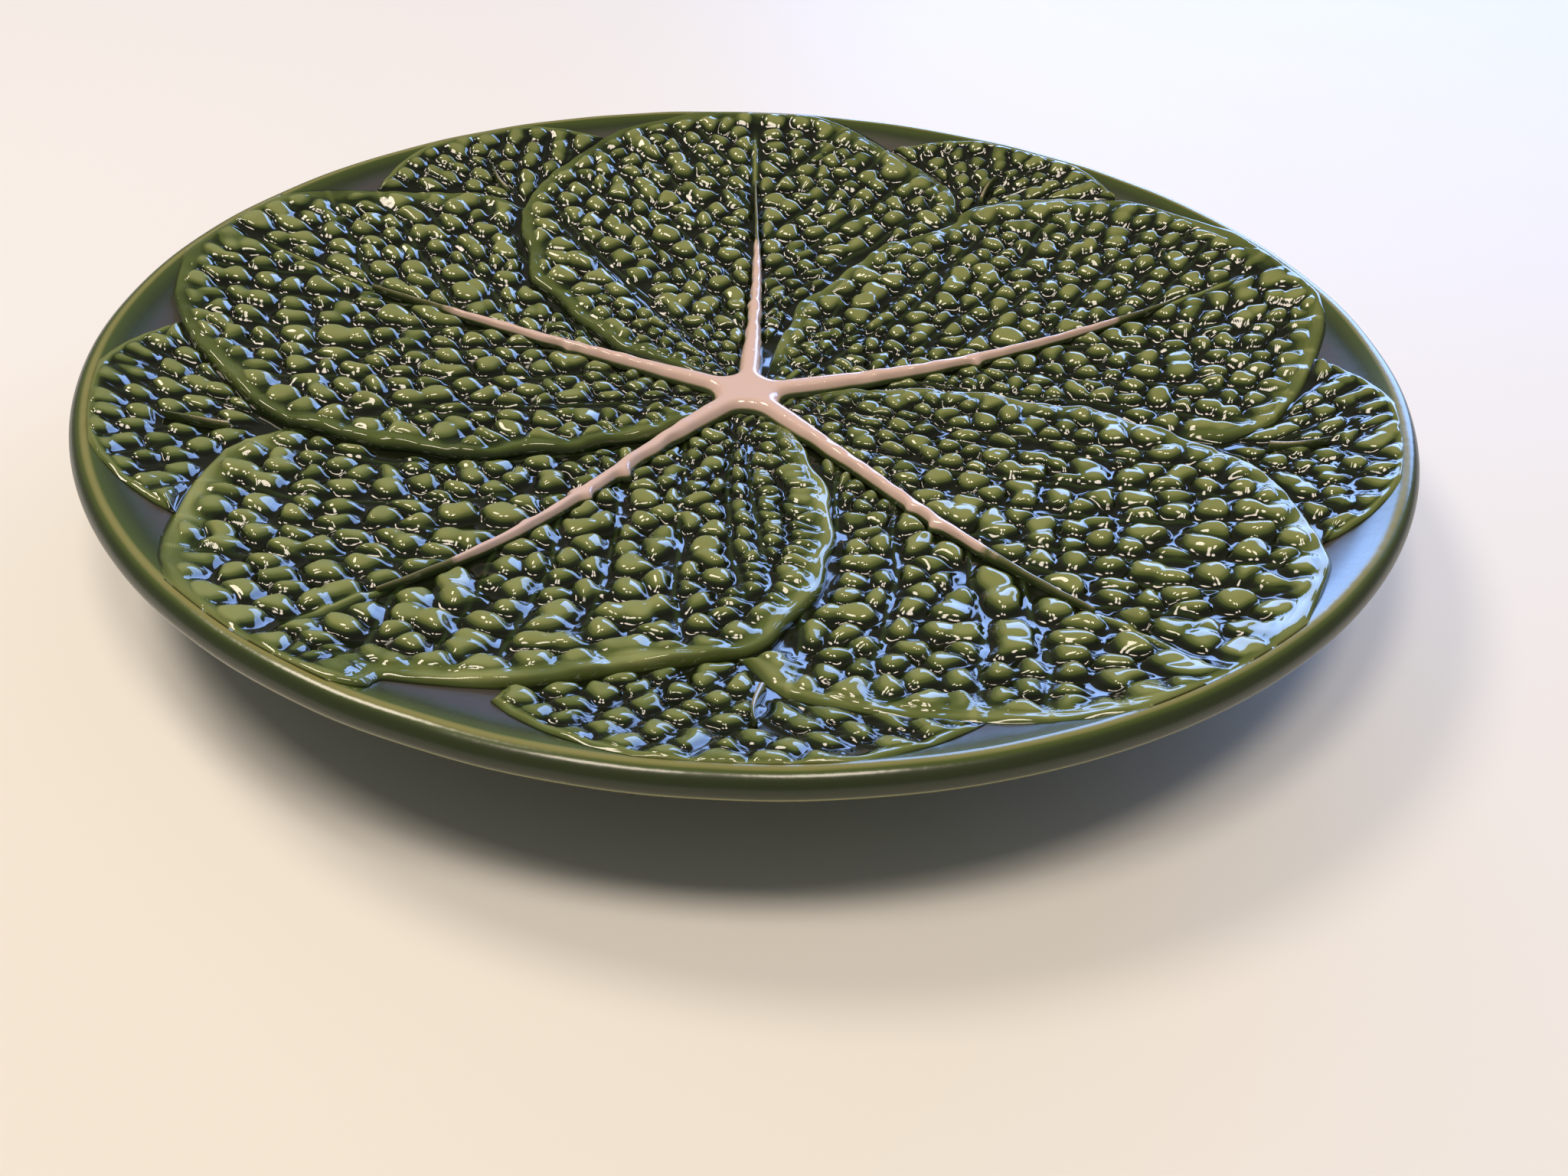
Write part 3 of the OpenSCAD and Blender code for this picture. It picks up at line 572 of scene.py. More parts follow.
def softened(height):
    """Twice, each point becomes half of itself and a quarter of each neighbour, first down the
    columns and then along the rows, which rounds off what is finer than half a millimetre."""
    for _ in range(2):
        z = np.pad(height, 1, mode="edge")
        z = (z[:-2] + 2 * z[1:-1] + z[2:]) / 4
        height = (z[:, :-2] + 2 * z[:, 1:-1] + z[:, 2:]) / 4
    return height


print("blisters on the grid of the first leaf", len(grid_places(0)))

# %% [markdown]
# The side veins leave the midrib at about thirty degrees and bend a little outward. Those nearest
# to the pad start at the pad itself and fan out. A vein is a thin raised line in a groove, and no
# cushion crosses it.

# %% Side veins
VEIN_TURNS = {1: math.radians(32), -1: math.radians(38)}
VEIN_FEET = {1: np.array([3, 24, 43, 63, 82, 98]), -1: np.array([14, 33, 52, 71, 89])}
FAN_VEINS = {1: np.array([36.0, 49.0]), -1: np.array([-200.0])}
VEIN_BEND = 0.0032


def nearest(values, marks):
    """Smallest distance of each value from a list of marks."""
    return np.abs(values[..., None] - marks).min(-1)


def vein_distance(i, r, off):
    """Distance from the nearest side vein. s runs along the midrib and q across it. A vein
    is a line of constant s less q times the cotangent of its turn, plus a bend times q squared;
    the distance is the difference of that number over the length of its gradient."""
    s, q = r * np.cos(np.radians(off)), r * np.sin(np.radians(off))
    away = np.full(np.shape(r), FAR)
    for side in (1, -1):
        here = np.sign(q) == side
        cot = 1 / math.tan(VEIN_TURNS[side])
        number = s - np.abs(q) * cot + VEIN_BEND * q ** 2
        steep = np.sqrt(1 + (cot - 2 * VEIN_BEND * np.abs(q)) ** 2)
        number = number + 1.2 * np.sin(np.abs(q) / 6 + 2 * i) + 0.5 * np.sin(np.abs(q) / 2.3 + i)
        feet = VEIN_FEET[side] + 2.2 * np.sin(5 * i + np.arange(len(VEIN_FEET[side])) * 2.3)
        own = nearest(number, feet) / steep
        fan = r * np.sin(np.radians(np.minimum(nearest(off, FAN_VEINS[side]), 90)))
        fan = np.where(r > 20, fan, FAR)
        away = np.where(here, np.minimum(own, fan), away)
    return away


print("veins a leaf", sum(len(v) for v in VEIN_FEET.values()) + 2)

# %% [markdown]
# All distances that shape a leaf are gathered in one place: to its edges, its tip, the pad, its
# own midrib and the one beside it, and its veins. Both the thrown points and the fine surface
# read them.

# %% Distances on a leaf
def leaf_fields(i, r, a):
    """Distances in millimetres at radius r and a degrees from leaf i's direction."""
    low, high = covered_edge(i, r), free_edge(i, r)
    f = {"free": square_to(free_edge, i, r, np.radians(high - a) * r)}
    f["covered"] = square_to(covered_edge, i, r, np.radians(a - low) * r)
    f["across"] = np.clip((a - low) / (high - low), 0, 1)
    f["open"] = smooth(np.radians(own_covered_edge(i, r) - covering_edge(i, r)) * r, 0, 3)
    f["tip"] = TIP_R - r
    off = a - rib_deg(i, r)
    f["rib"] = np.abs(r * np.sin(np.radians(off))) - rib_half_w(i, r)
    j = after(i)
    next_off = turn_from(LEAF_TURNS[j] + rib_deg(j, r), LEAF_TURNS[i] + a)
    beside = np.abs(r * np.sin(np.radians(next_off))) - rib_half_w(j, r)
    f["next_rib"] = np.where(np.abs(next_off) < 60, beside, FAR)
    f["vein"] = vein_distance(i, r, off) + 2.5 * smooth(-f["free"], -9, -4)
    f["x"], f["y"] = on_circle(r, a + LEAF_TURNS[i])
    f["hub"] = np.hypot(f["x"] - HUB_AT[0], f["y"] - HUB_AT[1]) - HUB_R
    return f


def blade_room(f):
    """Least distance from everything that keeps the cushions out."""
    return np.minimum.reduce([f["free"] - 2.3, f["covered"] - 1.7, f["tip"] - 0.2,
        f["rib"] - 0.4, f["next_rib"] - 0.4, f["vein"] - 0.28, f["hub"] - 0.6])


# %% [markdown]
# A leaf could be sculpted by hand, or be a plain sheet displaced by a texture. Here the thickness
# of the clay is worked out at every point from the distances, so lips, veins and cushions meet
# cleanly. The front left leaf also has short bars like rungs along its free edge.

# %% Surface of a large leaf
BAR_LEAF, BAR_PITCH, BAR_COLUMNS, BAR_REACH = 3, 3.1, np.array([6.2, 12.6]), (34, 84)


def bar_places(rng, i):
    """Places of the short bars that stand like rungs along the free edge of leaf i: radii a pitch
    apart, in columns at fixed distances from the edge."""
    r = np.arange(*BAR_REACH, BAR_PITCH)[:, None] + 0.5 * BAR_PITCH * np.arange(len(BAR_COLUMNS))
    r = r + rng.normal(0, 0.25, r.shape)
    away = np.radians(free_edge(i, r)) - (BAR_COLUMNS + rng.normal(0, 0.4, r.shape)) / r
    turn = away + math.radians(LEAF_TURNS[i])
    return np.column_stack([(r * np.cos(turn)).ravel(), (r * np.sin(turn)).ravel()])


def leaf_places(i, rng):
    """Cushion places of leaf i: the solid's, shifted a little, and small ones that fill up."""
    def room(x, y):
        r = np.maximum(np.hypot(x, y), LEAF_IN_R)
        return blade_room(leaf_fields(i, r, turn_from(LEAF_TURNS[i], np.degrees(np.arctan2(y, x)))))

    def spacing(x, y):
        return 3.0 + 1.6 * smooth(np.hypot(x, y), 14, 60)

    spots = grid_places(i)
    spots = spots + rng.normal(0, 0.36, spots.shape)
    away = np.hypot(spots[:, 0], spots[:, 1])
    lost = rng.random(len(spots)) < 0.22 * smooth(away, 30, 50) * (1 - smooth(away, 105, 118))
    spots = spots[(room(spots[:, 0], spots[:, 1]) > 0.8) & ~lost]
    if i == BAR_LEAF:
        bars = bar_places(rng, i)
        apart = np.hypot(spots[:, None, 0] - bars[None, :, 0], spots[:, None, 1] - bars[None, :, 1])
        spots = np.vstack([spots[apart.min(1) > 3.8], bars])
    middle = math.radians(LEAF_TURNS[i] + 10)
    middle = 62 * np.array([math.cos(middle), math.sin(middle)])
    return fill_places(rng, spots, 9000, middle - 78, middle + 78, spacing, room)


CEILING, CEILING_SOFT = PLATE_H + 0.40, 0.22
LEAF_LIFT, TIED_SHARE, WARP = 0.02, 0.30, 0.52
BLADE_H, LIP_GAIN, VALLEY_SINK = 1.72, 1.05, 0.88
# Paleness of the lips, leaf by leaf: thin glaze on their crests, plus painted light, since the lips
# of the two front leaves are set paler and those of the left and back leaves darker, as if lit from
# the front.
LIP_PALENESS_AND_LIGHT = [0.66, 0.56, 0.52, 0.78, 0.74]


def under_ceiling(z):
    """Heights that bend softly under the solid's highest point instead of passing it."""
    return CEILING - CEILING_SOFT * np.log1p(np.exp((CEILING - z) / CEILING_SOFT))


def lip_shape(away):
    """Height of a lip from 1 to 0: a rounded crest 4.6 mm wide on a soft margin of 7 mm."""
    return 0.62 * (1 - smooth(away, 1.4, 4.6)) + 0.38 * (1 - smooth(away, 2.4, 7.0))


def laid_on_floor(f, r, thick, glaze, step):
    """Closed form from a grid of thicknesses on the dish's floor; its lower side has glaze 0."""
    top = np.stack([f["x"], f["y"], under_ceiling(floor_z(r) + thick)], -1)
    low = np.stack([f["x"], f["y"], floor_z(r) + LEAF_LIFT], -1)[:, ::step]
    points, faces = closed_grid(top, low, step)
    return points, faces, np.concatenate([glaze.ravel(), np.zeros(low.shape[0] * low.shape[1])])


def leaf_surface(i, rows, cols, step):
    """Grid of leaf i: rows are circles from the pad to the tip, columns run from the covered
    edge to the free edge. Thickness is a valley level, plus a rise towards the free side, plus
    cushions, veins and lips, and it rounds off at the edges."""
    rng = np.random.default_rng(20 + i)
    spots = leaf_places(i, rng)
    group = tie_neighbours(rng, spots, TIED_SHARE)
    r = np.linspace(LEAF_IN_R, TIP_R, rows + 1)[:, None] * np.ones((1, cols + 1))
    low = covered_edge(i, r) - arc_deg(0.7, r)
    high = free_edge(i, r)
    a = low + (high - low) * np.linspace(0, 1, cols + 1)
    f = leaf_fields(i, r, a)
    x, y = f["x"], f["y"]
    wx = x + WARP * ripple(x, y, 6.8, 40 + i)
    wy = y + WARP * ripple(x, y, 6.8, 50 + i)
    room = blade_room(f) + 0.35 * ripple(x, y, 4.5, 60 + i)
    domes = softened(cushions(rng, wx, wy, spots, group, room))
    grown = smooth(r, 9, 22)
    thin = 1 - 0.55 * smooth(r, 108, 128)
    tall = BLADE_H * (0.55 + 0.45 * grown) * (1 - 0.38 * smooth(r, 114, 129))
    tall = tall * (1 + 0.16 * ripple(x, y, 8.0, 80 + i))
    vein = 0.22 * np.exp(-(f["vein"] / 0.42) ** 2) * smooth(f["free"], 2, 7) * smooth(r, 18, 30)
    past_rib = smooth(r, RIB_REACH[i] - 4, RIB_REACH[i]) * (1 - smooth(r, 114, 124))
    vein = vein + 0.75 * np.exp(-((f["rib"] + rib_half_w(i, r)) / 0.7) ** 2) * past_rib
    along = 0.84 + 0.13 * ripple(x, y, 13, 90 + i) + 0.05 * ripple(x, y, 6, 95 + i)
    lip_free = along * lip_shape(f["free"] + 0.4 * ripple(x, y, 8, 97 + i)) * grown
    lip_open = along * f["open"] * lip_shape(f["covered"] + 0.4 * ripple(x, y, 8, 98 + i))
    rise = LEAF_RISE * (f["across"] - 0.5) * grown
    level = (LEAF_T - VALLEY_SINK + rise) * thin
    lips = (lip_free + lip_open) * (0.35 + 0.65 * thin) * LIP_GAIN
    swollen = tall * np.maximum(domes, 0)
    bumps = (swollen ** 3 + lips ** 3) ** (1 / 3) + tall * np.minimum(domes, 0) + vein
    thick = level + bumps + 0.02 * ripple(x, y, 5.0, 100 + i)
    foot_free = 0.55 - 0.50 * smooth(r, 92, 100)
    edge_free = swell(f["free"] / 1.4)
    edge_open = 1 - f["open"] * (1 - swell(f["covered"] / 1.4))
    edge_tip = swell(f["tip"] / 1.1)
    keep = edge_free * edge_open * edge_tip
    thick = foot_free + (thick - foot_free) * keep
    # Pale lip crests: thin glaze, with painted light in each leaf's level.
    pale_and_lit_lip = LIP_PALENESS_AND_LIGHT[i] + 0.12 * ripple(x, y, 24, 95 + i)
    pale_and_lit_lip = pale_and_lit_lip * np.clip((lip_free + lip_open) / 0.8, 0, 1) ** 0.7
    crest = np.maximum(0.86 * smooth(domes, 0.02, 0.90), pale_and_lit_lip)
    glaze = np.clip(crest + 1.2 * vein, 0, 1) * (0.3 + 0.7 * keep)
    glaze = glaze + (0.75 - glaze) * smooth(r, 127.5, 129.3)
    print("leaf", i, "cushions", len(spots), "thickest", round(float(thick.max()), 2))
    return laid_on_floor(f, r, thick, glaze, step)


# %% The five large leaves
for i, name in enumerate(LEAVES):
    leaf_mesh = leaf_surface(i, 336, 264, 22)
    make_piece("leaf_" + name + "_glazed", *leaf_mesh, leaf_glaze, "leaf_glaze", ["leaf_" + name])

# %% [markdown]
# Between two large leaves the end of a third one shows at the rim. It lies lower, its cushions
# are smaller and it has a short pale midrib of its own.

# %% Leaf ends at the rim
UNDER_TIP_R = TIP_R - 0.4
UNDER_RIB_TURN, UNDER_VEIN_TURN = 1.2, math.radians(38)
UNDER_VEIN_FEET = np.array([88.0, 97.0, 106.0, 114.5])


def under_turn(i):
    """Direction of the middle of the leaf end between leaves i and i + 1."""
    return LEAF_TURNS[i] + turn_from(LEAF_TURNS[i], LEAF_TURNS[after(i)]) / 2 + 0.5


def under_limits(i, r):
    """Edges of leaf end i, its own and those of both neighbours, in degrees from its middle."""
    own = np.interp(r / PLATE_R, UNDER_EDGE[:, 0], UNDER_EDGE[:, 1]) + edge_wave(i + 3, r, 0.25)
    low = free_edge(i, r) + turn_from(under_turn(i), LEAF_TURNS[i])
    high = covered_edge(after(i), r) + turn_from(under_turn(i), LEAF_TURNS[after(i)])
    return own, low, high


def under_low(i, r):
    """Lower edge of leaf end i that shows, in degrees from its middle."""
    own, low, _ = under_limits(i, r)
    return np.maximum(low, -own)


def under_high(i, r):
    """Upper edge of leaf end i that shows."""
    own, _, high = under_limits(i, r)
    return np.minimum(high, own)


def under_start(i):
    """First radius at which the leaf end is 2 mm wide."""
    r = np.linspace(0.66 * PLATE_R, 0.9 * PLATE_R, 400)
    wide = np.radians(under_high(i, r) - under_low(i, r)) * r
    return float(r[np.argmax(wide > 2.0)])


def under_fields(i, r, a):
    """Distances in millimetres on leaf end i, as on a large leaf."""
    own, low, high = under_limits(i, r)
    f = {"tip": UNDER_TIP_R - r}
    f["low"] = square_to(under_low, i, r, np.radians(a - under_low(i, r)) * r)
    f["high"] = square_to(under_high, i, r, np.radians(under_high(i, r) - a) * r)
    f["low_open"] = smooth(np.radians(-own - low) * r, 0, 3)
    f["high_open"] = smooth(np.radians(high - own) * r, 0, 3)
    f["x"], f["y"] = on_circle(r, a + under_turn(i))
    off = np.radians(a - UNDER_RIB_TURN)
    f["rib"] = np.where(r < 0.9 * PLATE_R, np.abs(r * np.sin(off)) - UNDER_RIB_W / 2, FAR)
    number = r - np.abs(off * r) / math.tan(UNDER_VEIN_TURN)
    f["vein"] = nearest(number, UNDER_VEIN_FEET) * math.sin(UNDER_VEIN_TURN)
    return f


def under_room(f):
    """Least distance from everything that keeps a leaf end's cushions out."""
    return np.minimum.reduce([f["low"] - 0.4 - 0.9 * f["low_open"],
        f["high"] - 0.4 - 0.9 * f["high_open"], f["tip"] - 0.1, f["rib"] - 0.3, f["vein"] - 0.10])


def under_surface(i, rows, cols, step):
    """Grid of leaf end i, made as a large leaf is, with a lower level and no rise."""
    rng = np.random.default_rng(220 + i)

    def room(x, y):
        a = turn_from(under_turn(i), np.degrees(np.arctan2(y, x)))
        left = under_room(under_fields(i, np.maximum(np.hypot(x, y), 60), a))
        return np.where(np.hypot(x, y) > 80, left, -1)

    def spacing(x, y):
        return np.full(x.shape, 3.9)

    middle = math.radians(under_turn(i))
    middle = 112 * np.array([math.cos(middle), math.sin(middle)])
    spots = fill_places(rng, middle[None, :], 6000, middle - 45, middle + 45, spacing, room)
    group = tie_neighbours(rng, spots, TIED_SHARE)
    r = np.linspace(under_start(i), UNDER_TIP_R, rows + 1)[:, None] * np.ones((1, cols + 1))
    open_pad = arc_deg(0.6, r)
    own, near, far = under_limits(i, r)
    low = under_low(i, r) - open_pad * (near > -own)
    high = under_high(i, r) + open_pad * (far < own)
    a = low + (high - low) * np.linspace(0, 1, cols + 1)
    f = under_fields(i, r, a)
    x, y = f["x"], f["y"]
    wx, wy = x + 0.45 * ripple(x, y, 4.5, 240 + i), y + 0.45 * ripple(x, y, 4.5, 250 + i)
    room_left = under_room(f) + 0.2 * ripple(x, y, 3.5, 260 + i)
    domes = softened(cushions(rng, wx, wy, spots, group, room_left))
    thin = 1 - 0.30 * smooth(r, 118, 129)
    lip = f["low_open"] * (1 - smooth(f["low"], 1.0, 2.4)) \
        + f["high_open"] * (1 - smooth(f["high"], 1.0, 2.4))
    vein = 0.3 * np.exp(-(f["vein"] / 0.35) ** 2) * smooth(np.minimum(f["low"], f["high"]), 1.5, 4)
    bumps = 1.35 * domes * thin * (1 + 0.12 * ripple(x, y, 7.0, 270 + i)) + vein + 0.5 * lip * thin
    thick = (UNDER_LEAF_T - 0.65) * thin + bumps
    keep = (1 - f["low_open"] * (1 - swell(f["low"] / 1.2))) \
        * (1 - f["high_open"] * (1 - swell(f["high"] / 1.2))) * swell(f["tip"] / 0.9)
    thick = 0.06 + (thick - 0.06) * keep
    crest = np.maximum(0.80 * smooth(domes, 0.02, 0.85), 0.75 * np.clip(lip, 0, 1))
    glaze = np.clip(crest + 0.3 * vein, 0, 1) * (0.3 + 0.7 * keep)
    glaze = glaze + (0.75 - glaze) * smooth(r, 127, 129)
    print("leaf end", i, "cushions", len(spots), "from radius", round(under_start(i), 1))
    return laid_on_floor(f, r, thick, glaze, step)


for i, name in enumerate(UNDER_LEAVES):
    end_mesh = under_surface(i, 150, 180, 15)
    make_piece("leaf_end_" + name, *end_mesh, leaf_glaze, "leaf_glaze", ["under_leaf_" + name])

# %% [markdown]
# The midribs are low ridges in cream glaze, flat on top with short rounded flanks. Each is a
# section carried along a line: wide and high at the pad, thin at its end, with a few spurs where
# side veins leave it. The cream fades to green on the flanks and before the ridge ends.

# %% Midribs
OVERLAP, DIP, RIB_ROOT = 1.2, 0.35, 0.6
CREAM_FLANK = (0.18, 0.60)
CREAM_ENDS = [91, 70, 78, 92, 81]
SPURS = [[(50, -1, 1.6)], [(38, 1, 0.7)], [(44, 1, 0.8), (60, -1, 0.9)],
    [(44, 1, 1.5), (56, 1, 1.2), (57, -1, 1.6), (72, -1, 0.8)], [(56, -1, 0.9), (63, -1, 1.3)]]


def rib_base(r):
    """Height at which a rib's flanks start, a little under the valleys of the leaf."""
    return floor_z(r) + LEAF_T - 1.0


def rib_crest(i, r):
    """Height of a rib's crest, as on the solid."""
    return floor_z(r) + 2 * SEAT_GAP + LEAF_T - BED_DEPTH + rib_top(i, r)


def rib_reach_out(i, r):
    """Half width of a rib with its soft flanks: 1.03 of the solid's at the pad, and from there
    to 40 mm out it grows to 1.16 of it."""
    return rib_half_w(i, r) * (1.03 + 0.13 * smooth(r, 15, 40))


def rib_section(u):
    """Share of the height across a rib, from -1 to 1: flat on top, with short rounded flanks."""
    return (1 - np.abs(u) ** 3.2) ** 1.05


def beside_line(r, a, across):
    """x and y of a point on a line at radius r and direction a, moved square to that direction."""
    return r * np.cos(a) - across * np.sin(a), r * np.sin(a) + across * np.cos(a)


def midrib_surface(i, stations, ring):
    """Section points carried along the midrib: radius, direction and sideways offset give x and
    y, and the height goes from the base to the crest by the section's share. A spur is a swelling
    of one flank that leans outward."""
    r = np.linspace(ARM_R - OVERLAP, RIB_REACH[i] - 1.5, stations)[:, None]
    u = np.linspace(-1, 1, ring)[None, :]
    a = np.radians(LEAF_TURNS[i] + rib_deg(i, r))
    half = rib_reach_out(i, r) * (1 + 0.10 * smooth(r, 18, 24) * ripple(r, 3 * u, 9, 300 + i))
    for at, side, out in SPURS[i]:
        bulge = np.exp(-((r - at - out * np.abs(u)) / 1.3) ** 2)
        half = half + np.where(u * side > 0, out, 0) * bulge
    across = half * u * (1 - 0.30 * smooth(r, CREAM_ENDS[i] - 8, CREAM_ENDS[i] + 4))
    x, y = beside_line(r, a, across)
    share = rib_section(u) * (1 + 0.05 * smooth(r, 18, 24) * ripple(r, 2 * u, 6, 310 + i))
    z = rib_base(r) + (rib_crest(i, r) - rib_base(r)) * share
    z = z - DIP * (1 - smooth(r, ARM_R - OVERLAP, ARM_R))
    ragged = r + 1.5 * ripple(r, u, 5, 320 + i)
    cream = smooth(share, *CREAM_FLANK) \
        * (1 - smooth(ragged, CREAM_ENDS[i] - 7, CREAM_ENDS[i] + 2))
    cream = np.maximum(cream, 0.34 * smooth(share, 0.25, 0.80))
    top = np.stack([x, y, z], -1)
    low = top.copy()
    low[..., 2] = floor_z(r) + RIB_ROOT
    return top, low[:, ::ring - 1], cream


for i, name in enumerate(LEAVES):
    rib_upper, rib_lower, cream = midrib_surface(i, 180, 25)
    rib_mesh = closed_grid(rib_upper, rib_lower, 24)
    rib_level = np.concatenate([cream.ravel(), np.zeros(rib_lower.shape[0] * rib_lower.shape[1])])
    make_piece("rib_" + name, *rib_mesh, rib_level, cream_glaze, "cream_glaze", ["midrib_" + name])

# %% [markdown]
# Where the midribs meet there is a smooth flat pad, and the ribs flow out of it over hollow webs,
# as wet clay does when it is stroked with a finger. The form is given by one number at each place:
# how far it lies inside the outline. Near the outline the star rounds off as the ribs do, so the
# ribs go on without a seam.

# %% Pad of the star
STAR_PAD_R, WEB_SOFT, STAR_SPOKES, STAR_RINGS = 6.2, 4.6, 720, 60


def soft_least(p, q, soft):
    """The smaller of two distances, rounded where they are closer than soft: the difference's
    share of soft, squared, times a quarter of soft is taken off."""
    near = np.maximum(soft - np.abs(p - q), 0) / soft
    return np.minimum(p, q) - near ** 2 * soft / 4


def star_outside(x, y):
    """Distance from the star's outline, below 0 inside: the soft least of the distances from the
    round pad and from the five arms, each a strip from the pad's middle to its rib's start."""
    px, py = x - HUB_AT[0], y - HUB_AT[1]
    least = np.hypot(px, py) - STAR_PAD_R
    for i in range(5):
        a = math.radians(LEAF_TURNS[i] + float(rib_deg(i, ARM_R)))
        way = ARM_R * np.array([math.cos(a), math.sin(a)]) - HUB_AT
        way = way / np.linalg.norm(way)
        front, side = px * way[0] + py * way[1], np.abs(px * way[1] - py * way[0])
        arm = side - float(rib_reach_out(i, ARM_R))
        least = soft_least(least, np.where(front > 0, arm, FAR), WEB_SOFT)
    return least


def star_reach(turn):
    """Distance from the pad's middle to the outline in each direction: 40 halvings of the span
    between the pad's radius and the arms' end, which lies a little past the ribs' start."""
    cos, sin = np.cos(turn), np.sin(turn)
    toward = HUB_AT[0] * cos + HUB_AT[1] * sin
    last = np.sqrt((ARM_R + OVERLAP) ** 2 - HUB_AT @ HUB_AT + toward ** 2) - toward
    low, high = np.full(turn.shape, 2.0), last.copy()
    for _ in range(40):
        mid = (low + high) / 2
        inside = star_outside(HUB_AT[0] + mid * cos, HUB_AT[1] + mid * sin) < 0
        low, high = np.where(inside, mid, low), np.where(inside, high, mid)
    return high


turn = np.linspace(0, 2 * math.pi, STAR_SPOKES, endpoint=False)
share = np.linspace(0.02, 1, STAR_RINGS)[:, None]
out = star_reach(turn)[None, :]
star_x = HUB_AT[0] + share * out * np.cos(turn)
star_y = HUB_AT[1] + share * out * np.sin(turn)
star_r = np.hypot(star_x, star_y)
arm_half = float(rib_reach_out(0, ARM_R))
star_share = rib_section(np.clip(1 + star_outside(star_x, star_y) / arm_half, 0, 1))
star_z = rib_base(star_r) + (rib_crest(0, ARM_R) - rib_base(ARM_R)) * star_share \
    - DIP * smooth(star_r, ARM_R, ARM_R + OVERLAP)
star_points = np.stack([star_x, star_y, star_z], -1).reshape(-1, 3)
star_low = np.column_stack([star_x[-1], star_y[-1], floor_z(star_r[-1]) + RIB_ROOT])
star_faces = ring_faces(STAR_SPOKES, STAR_RINGS + 1, False)[:, ::-1]
star_ring = np.arange(STAR_SPOKES)[None, :]
star_caps = [star_ring, (star_ring + STAR_RINGS * STAR_SPOKES)[:, ::-1]]
star_cream = np.concatenate([smooth(star_share, *CREAM_FLANK).ravel(), np.zeros(STAR_SPOKES)])
make_piece("rib_star", np.concatenate([star_points, star_low]), [star_faces] + star_caps,
    star_cream, cream_glaze, "cream_glaze", ["rib_hub"])
print("star", round(float(out.min()), 2), "to", round(float(out.max()), 2), "mm from its middle")

# %% [markdown]
# The leaf ends have a thread of a midrib each, a pale line that thins out towards the rim.

# %% Short midribs of the leaf ends
UNDER_RIB_BASE = 0.5

for i, name in enumerate(UNDER_LEAVES):
    r = np.linspace(0.805 * PLATE_R, 0.885 * PLATE_R, 50)[:, None]
    u = np.linspace(-1, 1, 13)[None, :]
    along = (r - r[0]) / (r[-1] - r[0])
    a = np.radians(under_turn(i) + UNDER_RIB_TURN + 0.6 * np.sin(2.5 * along + i))
    x, y = beside_line(r, a, UNDER_RIB_W / 2 * (1 - 0.55 * along) * u)
    crest = UNDER_LEAF_T + 2 * SEAT_GAP + UNDER_RIB_H * (1 - 0.5 * along)
    z = floor_z(r) + UNDER_RIB_BASE + (crest - UNDER_RIB_BASE) * rib_section(u)
    upper = np.stack([x, y, z], -1)
    lower = upper.copy()
    lower[..., 2] = floor_z(r) + 0.3
    thread = closed_grid(upper, lower[:, ::12], 12)
    paleness = 0.40 * smooth(rib_section(u), 0.5, 0.95) * (1 - smooth(along, 0.5, 1))
    level = np.concatenate([paleness.ravel(), np.zeros(2 * len(r))])
    make_piece("rib_end_" + name, *thread, level, cream_glaze, "cream_glaze", ["under_rib_" + name])

# %% [markdown]
# The floor is a plain pale sheet. The light is soft: an even sky, a large cool window behind the
# plate and to the right, and a few round warm lamps overhead, which the glaze shows as dots.

# %% Floor
floor_mesh = bpy.data.meshes.new("studio_floor")
floor_mesh.from_pydata([(-6, -6, 0), (6, -6, 0), (6, 6, 0), (-6, 6, 0)], [], [(0, 1, 2, 3)])
studio_floor = bpy.data.objects.new("studio_floor", floor_mesh)
bpy.context.scene.collection.objects.link(studio_floor)
paper = bpy.data.materials.new("pale_paper")
paper.use_nodes = True
paper_shader = paper.node_tree.nodes["Principled BSDF"]
paper_shader.inputs["Base Color"].default_value = (0.80, 0.79, 0.77, 1)
paper_shader.inputs["Roughness"].default_value = 0.6
floor_mesh.materials.append(paper)

# %% Sky and lamps
world = bpy.data.worlds.new("soft_sky")
bpy.context.scene.world = world
world.use_nodes = True
sky = world.node_tree.nodes["Background"]
sky.inputs["Color"].default_value = (1.0, 0.96, 0.89, 1)
sky.inputs["Strength"].default_value = 0.18


def add_lamp(name, at, width, height, watts, colour):
    """Area lamp at a place in metres, turned to the plate: round where it has one width."""
    data = bpy.data.lights.new(name, "AREA")
    data.shape = "DISK" if width == height else "RECTANGLE"
    data.size, data.size_y = width, height
    data.energy = watts
    data.color = colour
    lamp = bpy.data.objects.new(name, data)
    away = np.array(at, float) - np.array([0, 0, 0.02])
    away /= np.linalg.norm(away)
    side = np.cross([0, 0, 1], away)
    side /= np.linalg.norm(side)
    turn = np.column_stack([side, np.cross(away, side), away])
    lamp.matrix_world = Matrix.Translation(at) @ Matrix(turn.tolist()).to_4x4()
    bpy.context.scene.collection.objects.link(lamp)
    return lamp


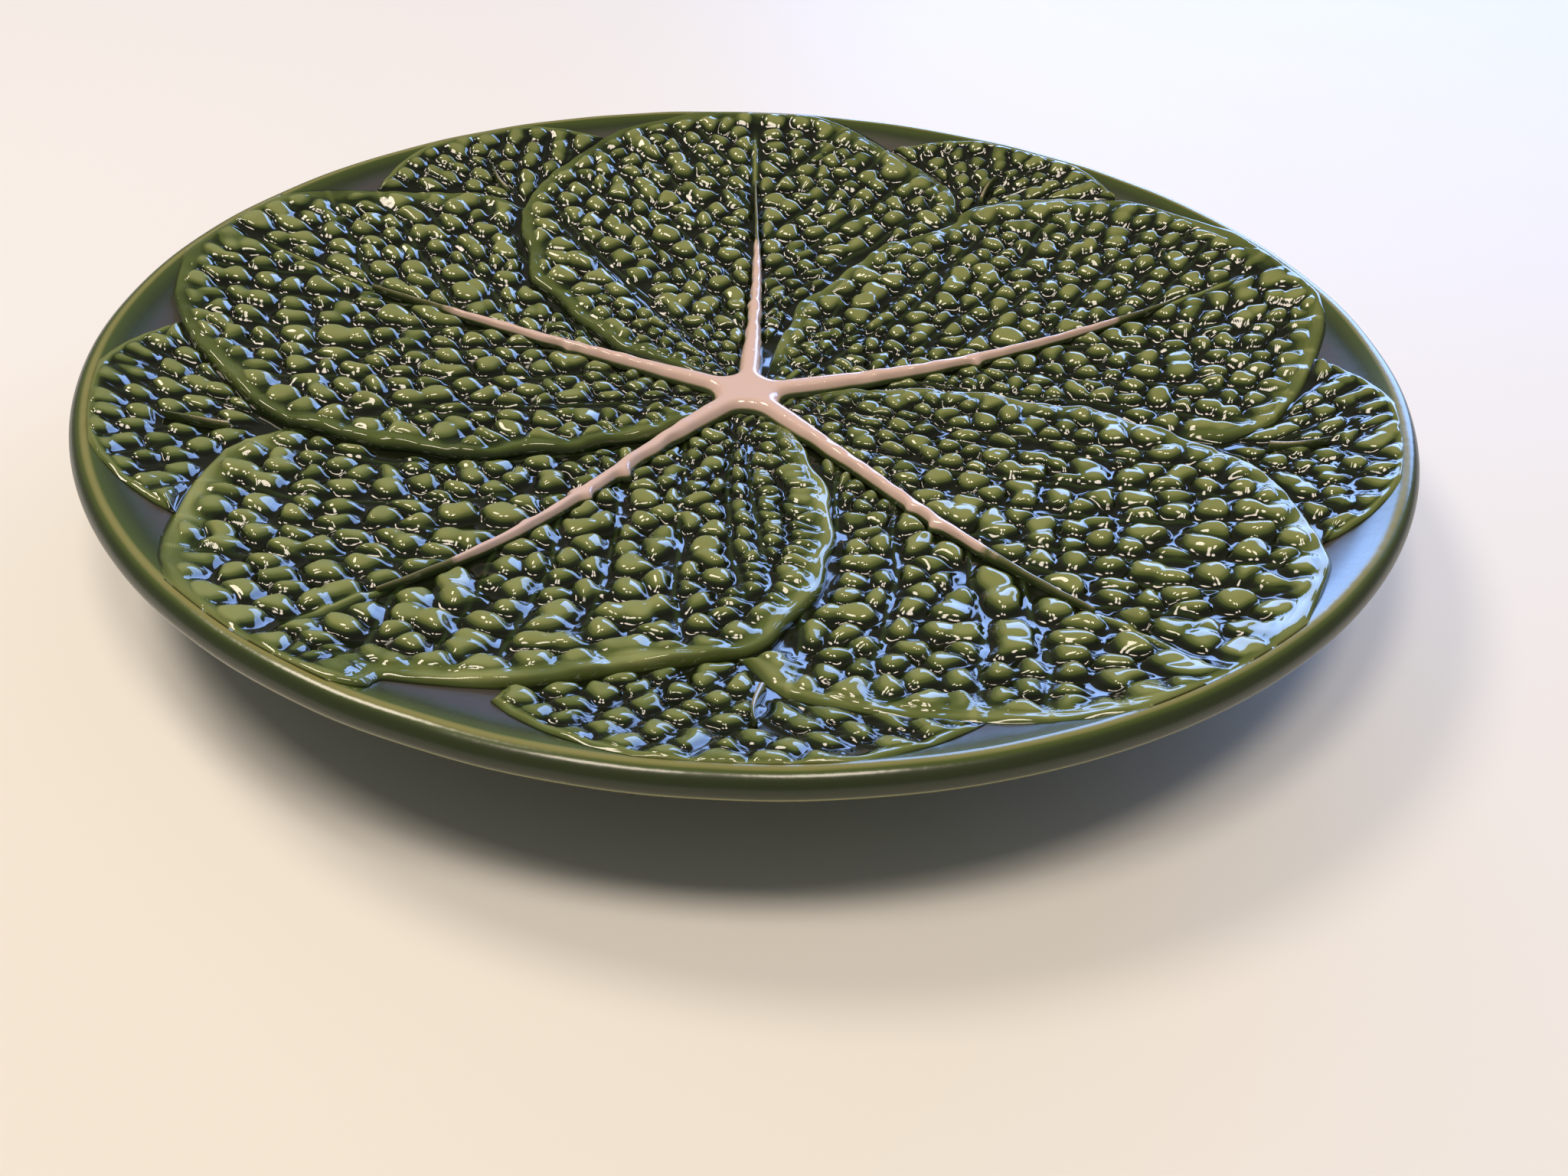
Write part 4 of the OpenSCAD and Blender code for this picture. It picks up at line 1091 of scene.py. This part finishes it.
COOL, WARM = (0.31, 0.50, 1.0), (1.0, 0.86, 0.71)
add_lamp("window", (1.0, 2.13, 0.62), 2.1, 1.0, 54, COOL)
add_lamp("spot_a", (-0.44, -0.30, 1.78), 0.48, 0.48, 11.2, WARM)
add_lamp("spot_b", (0.26, -0.34, 1.80), 0.48, 0.48, 11.2, WARM)
add_lamp("spot_c", (-0.70, 0.50, 1.30), 0.44, 0.44, 9.0, WARM)

# %% [markdown]
# The camera was found from the rim's ellipse and the star's middle in the photograph: close to
# the plate, looking down on it at about 26 degrees, with a wide lens.

# %% Camera
CAMERA_FAR, CAMERA_RISE = 266.6, 26.36
CAMERA_YAW, CAMERA_PITCH, CAMERA_ROLL = -1.61, -12.59, -2.08
SENSOR_W, LENS_SHARE = 36, 1600 / 2048


def turned(axis, degrees):
    """Rotation matrix about an axis by the right-hand rule."""
    return np.array(Matrix.Rotation(math.radians(degrees), 3, axis.tolist()))


rise = math.radians(CAMERA_RISE)
stand = CAMERA_FAR * np.array([0, -math.cos(rise), math.sin(rise)])
ahead = -stand / np.linalg.norm(stand)
right = np.array([1.0, 0, 0])
up = np.cross(right, ahead)
ahead, right = turned(up, CAMERA_YAW) @ ahead, turned(up, CAMERA_YAW) @ right
ahead, up = turned(right, CAMERA_PITCH) @ ahead, turned(right, CAMERA_PITCH) @ up
right, up = turned(ahead, CAMERA_ROLL) @ right, turned(ahead, CAMERA_ROLL) @ up
lens = bpy.data.cameras.new("photo_camera")
lens.sensor_width = SENSOR_W
lens.lens = SENSOR_W * LENS_SHARE
lens.clip_start, lens.clip_end = 0.01, 50
camera = bpy.data.objects.new("photo_camera", lens)
place = (stand + np.array([0, 0, PLATE_H])) * MM
facing = Matrix(np.column_stack([right, up, -ahead]).tolist()).to_4x4()
camera.matrix_world = Matrix.Translation(place.tolist()) @ facing
bpy.context.scene.collection.objects.link(camera)
bpy.context.scene.camera = camera
bpy.context.scene.view_settings.view_transform = "Standard"
print("camera at", place.round(4))
